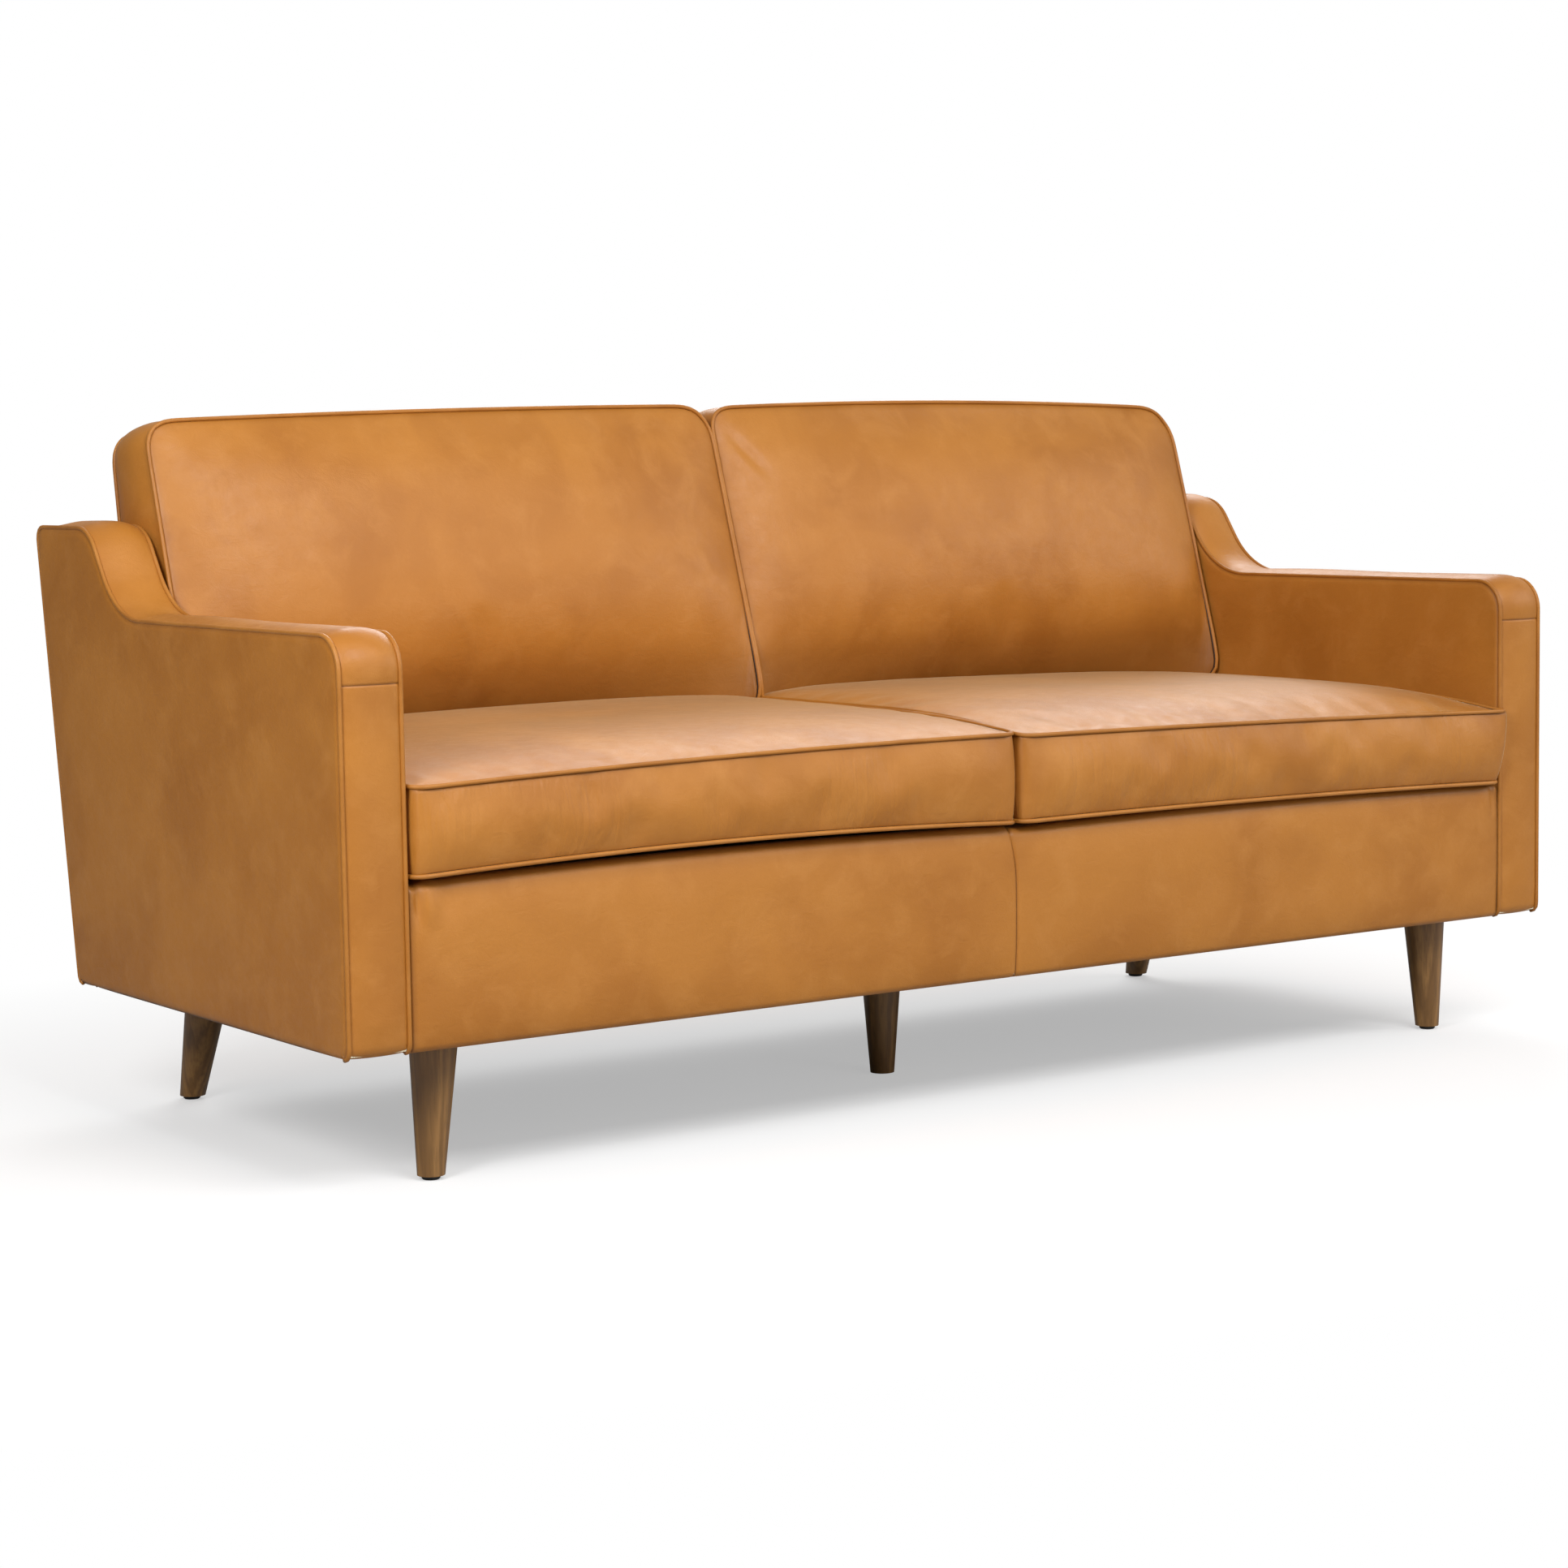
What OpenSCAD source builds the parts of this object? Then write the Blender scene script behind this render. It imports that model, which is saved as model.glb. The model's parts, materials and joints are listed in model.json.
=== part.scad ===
// Two-seat leather sofa with swooped slim arms, loose boxed cushions and tapered wooden legs.
// Millimetres. +X is the sofa's width, +Y runs to the rear, +Z is up. The origin is on the floor,
// under the middle of the whole sofa.

/* [Body] */
// Width over both arms
body_w = 1900; // [1500:10:2400]
// Height of the underside above the floor
leg_h = 165; // [140:5:190]
// Height of the arm's level part
arm_h = 636; // [610:2:660]
// Height of the arm at the back
back_h = 749; // [735:1:770]
// Thickness of one arm
arm_w = 82; // [70:1:110]
// Depth of the body at its underside
base_d = 747; // [735:1:780]
// How far the back leans over its height
back_lean = 88; // [70:2:100]
// Thickness of the padded back
back_t = 60; // [58:1:64]

/* [Arm outline] */
// Radius of the arm's front top corner
front_r = 40; // [20:1:60]
// Distance from the front to where the arm starts to rise
swoop_start = 526; // [480:2:540]
// Slope of the rise in degrees
swoop_slope = 55; // [50:1:60]
// Radius at the foot of the rise
swoop_low_r = 130; // [110:2:140]
// Radius at the head of the rise
swoop_high_r = 60; // [40:2:65]
// Radius of the arm's rear top corner
rear_r = 14; // [6:1:20]

/* [Seat cushions] */
// Height of the cushion's underside
seat_z0 = 352; // [350:1:356]
// Height of the top welt
seat_z1 = 470; // [462:1:474]
// Rise of the crown above the top welt
seat_crown = 33; // [15:1:34]
// How far the cushion stands in front of the arms
seat_over = 10; // [0:1:30]
// Bulge of the front boxing
seat_bulge = 9; // [0:1:20]

/* [Back cushions] */
// Height of the cushion's lower edge, measured up the leaning back
rest_s0 = 308; // [308:1:320]
// Height of the cushion's top corners, measured up the leaning back
rest_s1 = 702; // [660:1:740]
// Rise of the top edge between the corners
rest_crown = 14; // [4:1:24]
// Thickness at the lower edge
rest_t0 = 166; // [120:1:170]
// Thickness at the top edge
rest_t1 = 104; // [90:1:115]
// Bulge of the front face
rest_bulge = 30; // [5:1:34]
// Radius of the top corners
rest_r = 45; // [20:1:70]

/* [Legs] */
// Radius of a leg at its foot
foot_r = 16; // [12:0.5:18]
// Radius of a leg at its top
top_r = 29; // [24:0.5:30]
// Outward splay of the front legs in degrees
front_splay = 2.6; // [0:0.2:5]
// Outward splay of the rear legs in degrees
rear_splay = 3; // [0:0.2:5]
// Rearward rake of the rear legs in degrees
rear_rake = 16; // [8:0.5:16]
// Height of the nail-on glide under a leg
glide_h = 5; // [3:0.5:8]

/* [Hidden] */
$fn = 48;

// Sheet and board thicknesses
leather_t = 2;
fabric_t = 1.5;
side_foam = 8;
edge_foam = 12;
panel_t = 9;
rail_t = 25;
welt_t = 4;
// Air between the outside back cover and the padding it lies on
back_air = 0.05;

// Body planes
arm_out = body_w / 2;
arm_in = arm_out - arm_w;
lean = atan2(back_lean, back_h - leg_h);
rear_most = max([for (p = arm_outline(-welt_t)) p[0]]);
front_most = -seat_over - seat_bulge;
y_mid = (front_most + rear_most) / 2;

// Seat structure
rail_z0 = leg_h + 3;
rail_z1 = 328;
front_pad_y = [4, 20];
front_rail_y = [front_pad_y[1], front_pad_y[1] + rail_t];
rear_rail_y = [base_d - 71, base_d - 71 + rail_t];
deck_y = [25, base_d - 41];
front_flap_y = 40;
deck_z = [335, 347, 349];
block = 90;
block_h = 32;
stuffing_rail_z = [362, 410];
back_rail_z = [660, 720];
post_w = 44;
post_inset = 25;
strap_t = 2;
strap_w = 50;
strap_n = 8;
strap_pitch = 210;
centre_rail_w = 64;

// Legs: name index, foot position, outward splay, rearward rake
leg_x = arm_in - 61;
front_leg_y = 75;
rear_leg_y = 716;
centre_leg_y = 290;
centre_foot_z = 1;
legs = [
    [-leg_x, front_leg_y, -front_splay, 0],
    [leg_x, front_leg_y, front_splay, 0],
    [-leg_x - 4, rear_leg_y, -rear_splay, rear_rake],
    [leg_x + 4, rear_leg_y, rear_splay, rear_rake],
    [0, centre_leg_y, 0, 0],
];
bolt_r = 4;
bolt_below = 30;
bolt_above = 26;
glide_r = 11;
nail_r = 1.5;
nail_h = 14;
plate_w = 64;
screw_at = 26;
screw_r = 2;
screw_l = 18;

// Springs
spring_n = 10;
wire = 4;
hook_in = 12;
bend_n = 17;
bend_r = (rear_rail_y[0] - front_rail_y[0]) / bend_n / 2;
bar_half = 20;

// Seat cushions
seat_x = [4, arm_in - 6];
seat_y = [-seat_over, base_d - 47];
seat_peak_y = 330;
crown_power = 3.5;
cushion_welt = 3;
welt_h = 5;
zip_w = 12;

// Back cushions, in the leaning frame of the back
rest_x = [6, arm_in - 10];
rest_gap = 2;
rest_rear_t = back_t + rest_gap;

// A circular arc as points
function arc(c, r, a0, a1, n) =
    [for (i = [0:n]) c + r * [cos(a0 + (a1 - a0) * i / n), sin(a0 + (a1 - a0) * i / n)]];
function reverse(v) = [for (i = [len(v) - 1:-1:0]) v[i]];
// The rear plane's Y at a height
function rear_y(z) = base_d + (z - leg_h) * tan(lean);

// The Y of a plane that lies t in front of the rear plane, at a height
function back_y(t, z) = rear_y(z) - t / cos(lean);

// The rounded corner where a level top at back_h meets the rear plane, inset by d
function rear_corner(d) =
    let (r = max(rear_r - d, 1), z = back_h - d - r)
    arc([rear_y(z) - (d + r) / cos(lean), z], r, 90, -lean, 4);

// The arm's underside, whose inset is never more than the leather
function arm_floor(d) = leg_h + min(max(d, 0), leather_t);

// The arm's edge from its front foot, over the top, to the rear top corner, inset by d
function arm_edge(d) =
    let (
        r = max(front_r - d, 1),
        rise = back_h - arm_h - (swoop_low_r + swoop_high_r) * (1 - cos(swoop_slope)),
        run = (swoop_low_r + swoop_high_r) * sin(swoop_slope) + rise / tan(swoop_slope)
    )
    concat(
        [[d, arm_floor(d)]],
        arc([d + r, arm_h - d - r], r, 180, 90, 7),
        arc([swoop_start, arm_h + swoop_low_r], swoop_low_r + d, 270, 270 + swoop_slope, 9),
        arc([swoop_start + run, back_h - swoop_high_r], swoop_high_r - d, 90 + swoop_slope, 90, 7),
        rear_corner(d)
    );
// The same edge carried on down the rear to the underside
function arm_outline(d) = concat(arm_edge(d), [[back_y(d, arm_floor(d)), arm_floor(d)]]);
function band(outer, inner) = concat(outer, reverse(inner));

// The padded back's edge from the deck, up its face and over its top, inset by d
function back_edge(d) =
    let (r = 22 - d, z = back_h - d - r, y = rear_y(z) - (back_t - d - r) / cos(lean))
    concat(
        [[rear_y(deck_z[2]) - (back_t - d) / cos(lean), deck_z[2]]],
        arc([y, z], r, 180 - lean, 90, 5),
        rear_corner(d)
    );

// The seat cushion's side profile, inset by d
function seat_top(y, d) =
    let (u = y < seat_peak_y
        ? (seat_peak_y - y) / (seat_peak_y - seat_y[0])
        : (y - seat_peak_y) / (seat_y[1] - seat_peak_y))
    seat_z1 - d + seat_crown * (1 - pow(u, crown_power));
function seat_front(z) =
    let (u = (z - (seat_z0 + seat_z1) / 2) / ((seat_z1 - seat_z0) / 2 - 12))
    seat_y[0] - (abs(u) < 1 ? seat_bulge * (1 - u * u) : 0);
function seat_profile(d) = concat(
    [[seat_y[1] - d, seat_z0 + d]],
    [for (z = [seat_z0, seat_z0 + 12, seat_z0 + 36, seat_z0 + 59, seat_z1 - 36, seat_z1 - 12])
        [seat_front(z) + d, z == seat_z0 ? z + d : z]],
    [for (i = [0:14])
        let (y = seat_y[0] + (seat_y[1] - seat_y[0]) * i / 14)
        [i == 0 ? y + d : i == 14 ? y - d : y, seat_top(y, d)]]
);
// The seat cushion's front profile, inset by d
function seat_section(d) = concat(
    [[seat_x[0] + d, seat_z0 - 1], [seat_x[1] - d, seat_z0 - 1]],
    [for (i = [12:-1:0])
        let (u = i / 6 - 1, x = (seat_x[0] + seat_x[1]) / 2 + u * (seat_x[1] - seat_x[0] - 2 * d) / 2)
        [x, seat_z1 - d + 1.2 * seat_crown * (1 - pow(abs(u), 5))]]
);

// The back cushion's outline on the leaning back, inset by d
function rest_outline(d) =
    let (
        x0 = rest_x[0] + d, x1 = rest_x[1] - d, s0 = rest_s0 + d, s1 = rest_s1 - d,
        r = rest_r - d, low = max(18 - d, 1)
    )
    concat(
        arc([x0 + low, s0 + low], low, 180, 270, 4),
        arc([x1 - low, s0 + low], low, 270, 360, 4),
        arc([x1 - r, s1 - r], r, 0, 85, 6),
        [for (i = [9:-1:1])
            let (u = i / 5 - 1)
            [(x0 + x1) / 2 + u * (x1 - x0 - 2 * r) / 2, s1 + rest_crown * (1 - u * u)]],
        arc([x0 + r, s1 - r], r, 95, 180, 6)
    );
// The back cushion's side profile as [thickness, height up the back], inset by d
function rest_profile(d) = concat(
    [[rest_rear_t + d, rest_s0 - 20], [rest_rear_t + d, rest_s1 + 60]],
    [for (i = [10:-1:0])
        let (u = i / 10, s = rest_s0 - 20 + (rest_s1 - rest_s0 + 80) * u, v = (s - rest_s0) / (rest_s1 - rest_s0))
        [rest_rear_t + rest_front(v) - d, s]]
);
function rest_front(v) =
    rest_t0 + (rest_t1 - rest_t0) * v
    + (v > 0.02 && v < 0.98 ? rest_bulge * pow(sin(180 * v), 0.8) : 0);

// A box from its low and high corners
module span(lo, hi) {
    translate(lo) cube(hi - lo);
}

// A side profile given as [y, z] points, made solid between two X planes
module slab(x0, x1, points) {
    translate([x0, 0, 0]) rotate([90, 0, 90]) linear_extrude(x1 - x0) polygon(points);
}

// Children move into the leaning frame: Z up the back, Y = 0 on the rear plane
module on_back() {
    translate([0, base_d, leg_h]) rotate([-lean, 0, 0]) children();
}

// A left and a right copy of one side's part
module side(which) {
    mirror([which == "left" ? 1 : 0, 0, 0]) children();
}

// Children move onto a leg's axis, with Z running up the leg from its foot
module leg_axis(leg) {
    dx = -tan(leg[2]);
    dy = -tan(leg[3]);
    translate([leg[0], leg[1], 0]) rotate([0, 0, atan2(dy, dx)]) rotate([0, atan(norm([dx, dy])), 0]) children();
}
function leg_top(leg) = [leg[0] - leg_h * tan(leg[2]), leg[1] - leg_h * tan(leg[3])];

module leg_bore(leg, r, z0, z1) {
    leg_axis(leg) translate([0, 0, z0]) cylinder(r = r, h = z1 - z0);
}

module screw_points(leg) {
    for (sx = [-1, 1], sy = [-1, 1])
        translate([leg_top(leg)[0] + sx * screw_at, leg_top(leg)[1] + sy * screw_at, 0]) children();
}

module wooden_leg(leg, foot_z) {
    slope = (top_r - foot_r) / leg_h;
    color("#6b4a2c") difference() {
        intersection() {
            leg_axis(leg) translate([0, 0, -20])
                cylinder(r1 = foot_r - 20 * slope, r2 = top_r + 40 * slope, h = leg_h + 60, $fn = 96);
            translate([leg[0], leg[1], foot_z]) translate([-150, -150, 0]) cube([300, 300, leg_h - foot_z]);
        }
        leg_bore(leg, bolt_r + 0.05, leg_h - bolt_below - 2, leg_h + 30);
        if (foot_z == glide_h)
            translate([leg[0], leg[1], 0]) cylinder(r = nail_r + 0.05, h = glide_h + nail_h + 1);
    }
}

module leg_glides() {
    color("#1c1a18") for (i = [0:3])
        translate([legs[i][0], legs[i][1], 0]) rotate_extrude()
            polygon([
                [0, 0], [glide_r - 1.5, 0], [glide_r, 1.5], [glide_r, glide_h],
                [nail_r, glide_h], [nail_r, glide_h + nail_h], [0, glide_h + nail_h],
            ]);
}

module leg_bolts() {
    color("silver") for (leg = legs) leg_bore(leg, bolt_r, leg_h - bolt_below, leg_h + bolt_above);
}

module leg_plates() {
    color("silver") for (leg = legs) difference() {
        translate([leg_top(leg)[0] - plate_w / 2, leg_top(leg)[1] - plate_w / 2, leg_h])
            cube([plate_w, plate_w, rail_z0 - leg_h]);
        leg_bore(leg, bolt_r + 0.1, leg_h - 20, leg_h + 40);
        screw_points(leg) translate([0, 0, leg_h - 1]) cylinder(r = screw_r + 0.2, h = 5);
    }
}

module leg_plate_screws() {
    color("silver") for (leg = legs) screw_points(leg) translate([0, 0, leg_h - 1.8]) rotate_extrude()
        polygon([
            [0, 0], [2.6, 0], [3.6, 0.9], [3.6, 1.8],
            [screw_r, 1.8], [screw_r, screw_l], [0, screw_l + 2],
        ]);
}

// Holes for the leg bolts and plate screws in whatever sits on the plates
module leg_fixing_holes() {
    for (leg = legs) {
        leg_bore(leg, bolt_r + 1, leg_h - 5, leg_h + 50);
        screw_points(leg) translate([0, 0, leg_h]) cylinder(r = screw_r + 0.05, h = screw_l + 4);
    }
}

module front_rail() {
    color("#d8b98a") span([-arm_in, front_rail_y[0], rail_z0], [arm_in, front_rail_y[1], rail_z1]);
}

module rear_rail() {
    color("#d8b98a") difference() {
        span([-arm_in, rear_rail_y[0], rail_z0], [arm_in, rear_rail_y[1], rail_z1]);
        leg_fixing_holes();
    }
}

module side_rails() {
    color("#d8b98a") for (which = ["left", "right"]) side(which)
        span([arm_in - rail_t, front_rail_y[1], rail_z0 + block_h], [arm_in, rear_rail_y[0], 320]);
}

module centre_rail() {
    color("#d8b98a") difference() {
        span([-centre_rail_w / 2, front_rail_y[1], rail_z0], [centre_rail_w / 2, rear_rail_y[0], rail_z0 + 30]);
        leg_fixing_holes();
    }
}

module corner_blocks() {
    x1 = arm_in - rail_t;
    color("#c9a777") difference() {
        for (which = ["left", "right"]) side(which) {
            span([x1 - block, front_rail_y[1], rail_z0], [x1, front_rail_y[1] + block, rail_z0 + block_h]);
            span([x1 - block, rear_rail_y[0] - block, rail_z0], [x1, rear_rail_y[0], rail_z0 + block_h]);
        }
        leg_fixing_holes();
    }
}

// Posts bolted behind the rear rail, with a lower and an upper rail between them
module back_frame() {
    front = back_t - leather_t - edge_foam - strap_t;
    function board(z0, z1) = [
        [back_y(front, z0), z0], [back_y(front, z1), z1], [back_y(6, z1), z1], [back_y(6, z0), z0],
    ];
    post = concat([[rear_rail_y[1], rail_z0], [rear_rail_y[1], rail_z1]],
        board(rail_z1, back_rail_z[1]), [[back_y(6, rail_z0), rail_z0]]);
    color("#d8b98a") {
        slab(-arm_in, arm_in, board(back_rail_z[0], back_rail_z[1]));
        slab(-arm_in, arm_in, board(stuffing_rail_z[0], stuffing_rail_z[1]));
        for (x = [-arm_in + post_inset, 0, arm_in - post_inset]) slab(x - post_w / 2, x + post_w / 2, post);
    }
}

module back_webbing() {
    front = back_t - leather_t - edge_foam;
    z = [stuffing_rail_z[0] + 8, back_rail_z[1] - 8];
    strap = [
        [back_y(front, z[0]), z[0]], [back_y(front, z[1]), z[1]],
        [back_y(front - strap_t, z[1]), z[1]], [back_y(front - strap_t, z[0]), z[0]],
    ];
    color("#2b2b2b") for (i = [0:strap_n - 1]) {
        x = (i - (strap_n - 1) / 2) * strap_pitch;
        slab(x - strap_w / 2, x + strap_w / 2, strap);
    }
}

module back_padding() {
    color("#efe6cf") slab(-arm_in, arm_in, band(back_edge(leather_t), back_edge(leather_t + edge_foam)));
}

module inside_back_cover() {
    color("#b07a3e") slab(-arm_in, arm_in, band(back_edge(0), back_edge(leather_t)));
}

module outside_back_cover() {
    corner = rear_corner(0);
    inner = rear_corner(leather_t - back_air);
    half = arm_out - leather_t;
    color("#b07a3e") slab(-half, half, [
        corner[4], [rear_y(leg_h), leg_h], [back_y(leather_t - back_air, leg_h), leg_h], inner[4],
    ]);
}

// One serpentine spring lying flat, its bars across X
module spring() {
    y0 = front_rail_y[0] + hook_in;
    function side_points(w) = [
        for (k = [0:bend_n - 1], j = [0:5])
            let (right = k % 2 == 0, t = right ? -90 + 36 * j : 270 - 36 * j, r = bend_r + (right ? w : -w))
            [(right ? bar_half : -bar_half) + r * cos(t), y0 + bend_r * (2 * k + 1) + r * sin(t)]
    ];
    y_end = y0 + 2 * bend_r * bend_n;
    linear_extrude(wire) polygon(concat(
        [[-bar_half, y0 - wire / 2]], side_points(wire / 2), [[-bar_half, y_end + wire / 2]],
        [[-bar_half, y_end - wire / 2]], reverse(side_points(-wire / 2)), [[-bar_half, y0 + wire / 2]]
    ));
}

module spring_places() {
    pitch = (2 * arm_in - 120) / (spring_n - 1);
    for (i = [0:spring_n - 1]) translate([(i - (spring_n - 1) / 2) * pitch, 0, rail_z1]) children();
}

module seat_springs() {
    color("#5b5b5b") spring_places() spring();
}

module spring_clips() {
    color("#8a8a8a") spring_places() for (y = [front_rail_y[0] + hook_in, rear_rail_y[0] + hook_in])
        translate([-10, y, 0]) rotate([90, 0, 90]) linear_extrude(20)
            polygon([[-5, 0], [-5, 6.5], [5, 6.5], [5, 0], [3, 0], [3, 4.5], [-3, 4.5], [-3, 0]]);
}

module deck_padding() {
    color("#d9d4c8") span([-arm_in, deck_y[0], deck_z[0]], [arm_in, deck_y[1], deck_z[1]]);
}

module deck_cover() {
    color("#8b6a45") span([-arm_in, deck_y[0], deck_z[1]], [arm_in, deck_y[1], deck_z[2]]);
}

module front_padding() {
    color("#efe6cf") span(
        [-arm_in, front_pad_y[0], leg_h + leather_t], [arm_in, front_pad_y[1], deck_z[1]]);
}

module front_cover() {
    y0 = front_pad_y[0] - leather_t;
    z = [leg_h, leg_h + leather_t, deck_z[1], deck_z[2]];
    color("#b07a3e") for (which = ["left", "right"]) side(which) slab(0.05, arm_in, [
        [y0, z[0]], [y0, z[3]], [deck_y[0], z[3]], [deck_y[0], z[2]], [y0 + leather_t, z[2]],
        [y0 + leather_t, z[1]], [front_flap_y, z[1]], [front_flap_y, z[0]],
    ]);
}

module dust_cover() {
    color("#202020") difference() {
        span([-arm_in, front_flap_y + 1, rail_z0 - fabric_t], [arm_in, base_d - 3, rail_z0]);
        for (leg = legs) translate([leg_top(leg)[0], leg_top(leg)[1], leg_h + 1])
            cube([plate_w + 2, plate_w + 2, 10], center = true);
    }
}

module arm_panels() {
    inset = leather_t + edge_foam;
    x0 = arm_in + leather_t + side_foam;
    x1 = arm_out - leather_t - side_foam;
    color("#d8b98a") {
        slab(x0, x0 + panel_t, arm_outline(inset));
        slab(x1 - panel_t, x1, arm_outline(inset));
    }
}

module arm_blocking() {
    inset = leather_t + edge_foam;
    x0 = arm_in + leather_t + side_foam + panel_t;
    x1 = arm_out - leather_t - side_foam - panel_t;
    board = 38;
    split_y = [inset + board, swoop_start, rear_y(leg_h) - inset - 80];
    floor_z = arm_floor(inset);
    bounds = [
        [[0, leg_h], [split_y[0], back_h]],
        [[split_y[0], arm_h - inset - board], [split_y[1], back_h]],
        [[split_y[1], arm_h - inset - board], [base_d + back_lean, back_h]],
        [[split_y[2], leg_h], [base_d + back_lean, arm_h - inset - board]],
    ];
    color("#c9a777") {
        for (b = bounds) intersection() {
            slab(x0, x1, band(arm_outline(inset), arm_outline(inset + board)));
            span([x0 - 1, b[0][0], b[0][1]], [x1 + 1, b[1][0], b[1][1]]);
        }
        span([x0, split_y[0], floor_z], [x1, back_y(inset, floor_z) - board - 3, floor_z + board]);
    }
}

module arm_padding() {
    inset = leather_t + edge_foam;
    x0 = arm_in + leather_t;
    x1 = arm_out - leather_t;
    color("#efe6cf") {
        slab(x0, x0 + side_foam, arm_outline(inset));
        slab(x1 - side_foam, x1, arm_outline(inset));
        slab(x0, x1, band(arm_outline(leather_t), arm_outline(inset)));
    }
}

module arm_outer_cover() {
    color("#a8713a") slab(arm_out - leather_t, arm_out, arm_outline(0));
}

module arm_inner_cover() {
    color("#a8713a") difference() {
        slab(arm_in, arm_in + leather_t, arm_outline(0));
        outside_back_cover();
    }
}

// The strip round the arm's edge, turned under along the bottom
module arm_boxing() {
    x0 = arm_in + leather_t;
    x1 = arm_out - leather_t;
    z = [leg_h, leg_h + leather_t];
    under = [[0, z[0]], [back_y(leather_t, z[0]), z[0]], [back_y(leather_t, z[1]), z[1]], [leather_t, z[1]]];
    color("#b88347") {
        slab(x0, x1, band(arm_edge(0), arm_edge(leather_t)));
        slab(x0, x1, under);
    }
}

module arm_welts() {
    color("#8a5a2b") {
        slab(arm_out - welt_t, arm_out, band(arm_outline(-welt_t), arm_outline(0)));
        slab(arm_in, arm_in + welt_t, band(arm_edge(-welt_t), arm_edge(0)));
    }
}

module seat_solid(d) {
    intersection() {
        slab(seat_x[0] + d, seat_x[1] - d, seat_profile(d));
        translate([0, 900, 0]) rotate([90, 0, 0]) linear_extrude(1000) polygon(seat_section(d));
    }
}

// The zip's slot in the seat cushion's rear boxing
module seat_zip() {
    z = (seat_z0 + seat_z1) / 2 - zip_w / 2;
    color("#3a2a1a") span([seat_x[0] + 60, seat_y[1] - leather_t, z], [seat_x[1] - 60, seat_y[1], z + zip_w]);
}

module seat_cover() {
    color("#b88347") difference() {
        seat_solid(0);
        seat_solid(leather_t);
        seat_zip();
    }
}

module seat_core() {
    color("#f2e9d0") seat_solid(leather_t);
}

module seat_welts() {
    color("#8a5a2b") for (z = [seat_z0 + 6, seat_z1 - welt_h]) difference() {
        span([seat_x[0] - cushion_welt, seat_y[0] - cushion_welt, z],
            [seat_x[1] + cushion_welt, seat_y[1] + cushion_welt, z + welt_h]);
        span([seat_x[0], seat_y[0], z - 1], [seat_x[1], seat_y[1], z + welt_h + 1]);
    }
}

// Slider and tab, outer face towards +Y, standing on the plane Y = 0
module zip_pull() {
    color("#b9a26a") {
        translate([-5, 0, -4.5]) cube([10, 2.5, 9]);
        translate([-28, 0.5, -3]) cube([23, 1.2, 6]);
    }
}

module seat_zip_pull() {
    translate([seat_x[1] - 70, seat_y[1], (seat_z0 + seat_z1) / 2]) zip_pull();
}

// The back cushion's outline as a prism through the leaning back's frame
module rest_prism(d) {
    on_back() rotate([90, 0, 0]) linear_extrude(400) polygon(rest_outline(d));
}

module rest_solid(d) {
    intersection() {
        rest_prism(d);
        on_back() slab(0, arm_in, [for (p = rest_profile(d)) [-p[0], p[1]]]);
    }
}

// The zip's slot in the back cushion's lower boxing
module rest_zip() {
    color("#3a2a1a") on_back() span(
        [rest_x[0] + 60, -rest_rear_t - rest_t0 / 2 - zip_w / 2, rest_s0],
        [rest_x[1] - 60, -rest_rear_t - rest_t0 / 2 + zip_w / 2, rest_s0 + leather_t]);
}

module rest_cover() {
    color("#b88347") difference() {
        rest_solid(0);
        rest_solid(leather_t);
        rest_zip();
    }
}

module rest_core() {
    color("#f2e9d0") rest_solid(leather_t);
}

module rest_welts() {
    front = [for (v = [-0.2, 1.2]) [rest_rear_t + rest_t0 + (rest_t1 - rest_t0) * v,
        rest_s0 + (rest_s1 - rest_s0) * v]];
    rear = rest_rear_t;
    strips = [
        [[front[0][0], front[0][1]], [front[1][0], front[1][1]],
            [front[1][0] - welt_h, front[1][1]], [front[0][0] - welt_h, front[0][1]]],
        [[rear, 0], [rear, 900], [rear + welt_h, 900], [rear + welt_h, 0]],
    ];
    color("#8a5a2b") for (strip = strips) intersection() {
        difference() {
            rest_prism(-cushion_welt);
            rest_prism(0);
        }
        on_back() slab(-20, arm_in + 20, [for (p = strip) [-p[0], p[1]]]);
    }
}

module rest_zip_pull() {
    on_back() translate([rest_x[1] - 70, -rest_rear_t - rest_t0 / 2, rest_s0])
        rotate([-90, 0, 0]) zip_pull();
}

// Children are drawn with the arms' front at Y = 0 and moved so that the origin is mid-depth
module part(name) {
    translate([0, -y_mid, 0]) children();
}

part("leg_front_left") wooden_leg(legs[0], glide_h);
part("leg_front_right") wooden_leg(legs[1], glide_h);
part("leg_rear_left") wooden_leg(legs[2], glide_h);
part("leg_rear_right") wooden_leg(legs[3], glide_h);
part("leg_centre") wooden_leg(legs[4], centre_foot_z);
part("leg_glides") leg_glides();
part("leg_bolts") leg_bolts();
part("leg_plates") leg_plates();
part("leg_plate_screws") leg_plate_screws();
part("front_rail") front_rail();
part("rear_rail") rear_rail();
part("side_rails") side_rails();
part("centre_rail") centre_rail();
part("corner_blocks") corner_blocks();
part("back_frame") back_frame();
part("back_webbing") back_webbing();
part("back_padding") back_padding();
part("inside_back_cover") inside_back_cover();
part("outside_back_cover") outside_back_cover();
part("seat_springs") seat_springs();
part("spring_clips") spring_clips();
part("deck_padding") deck_padding();
part("deck_cover") deck_cover();
part("front_padding") front_padding();
part("front_cover") front_cover();
part("dust_cover") dust_cover();
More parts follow.
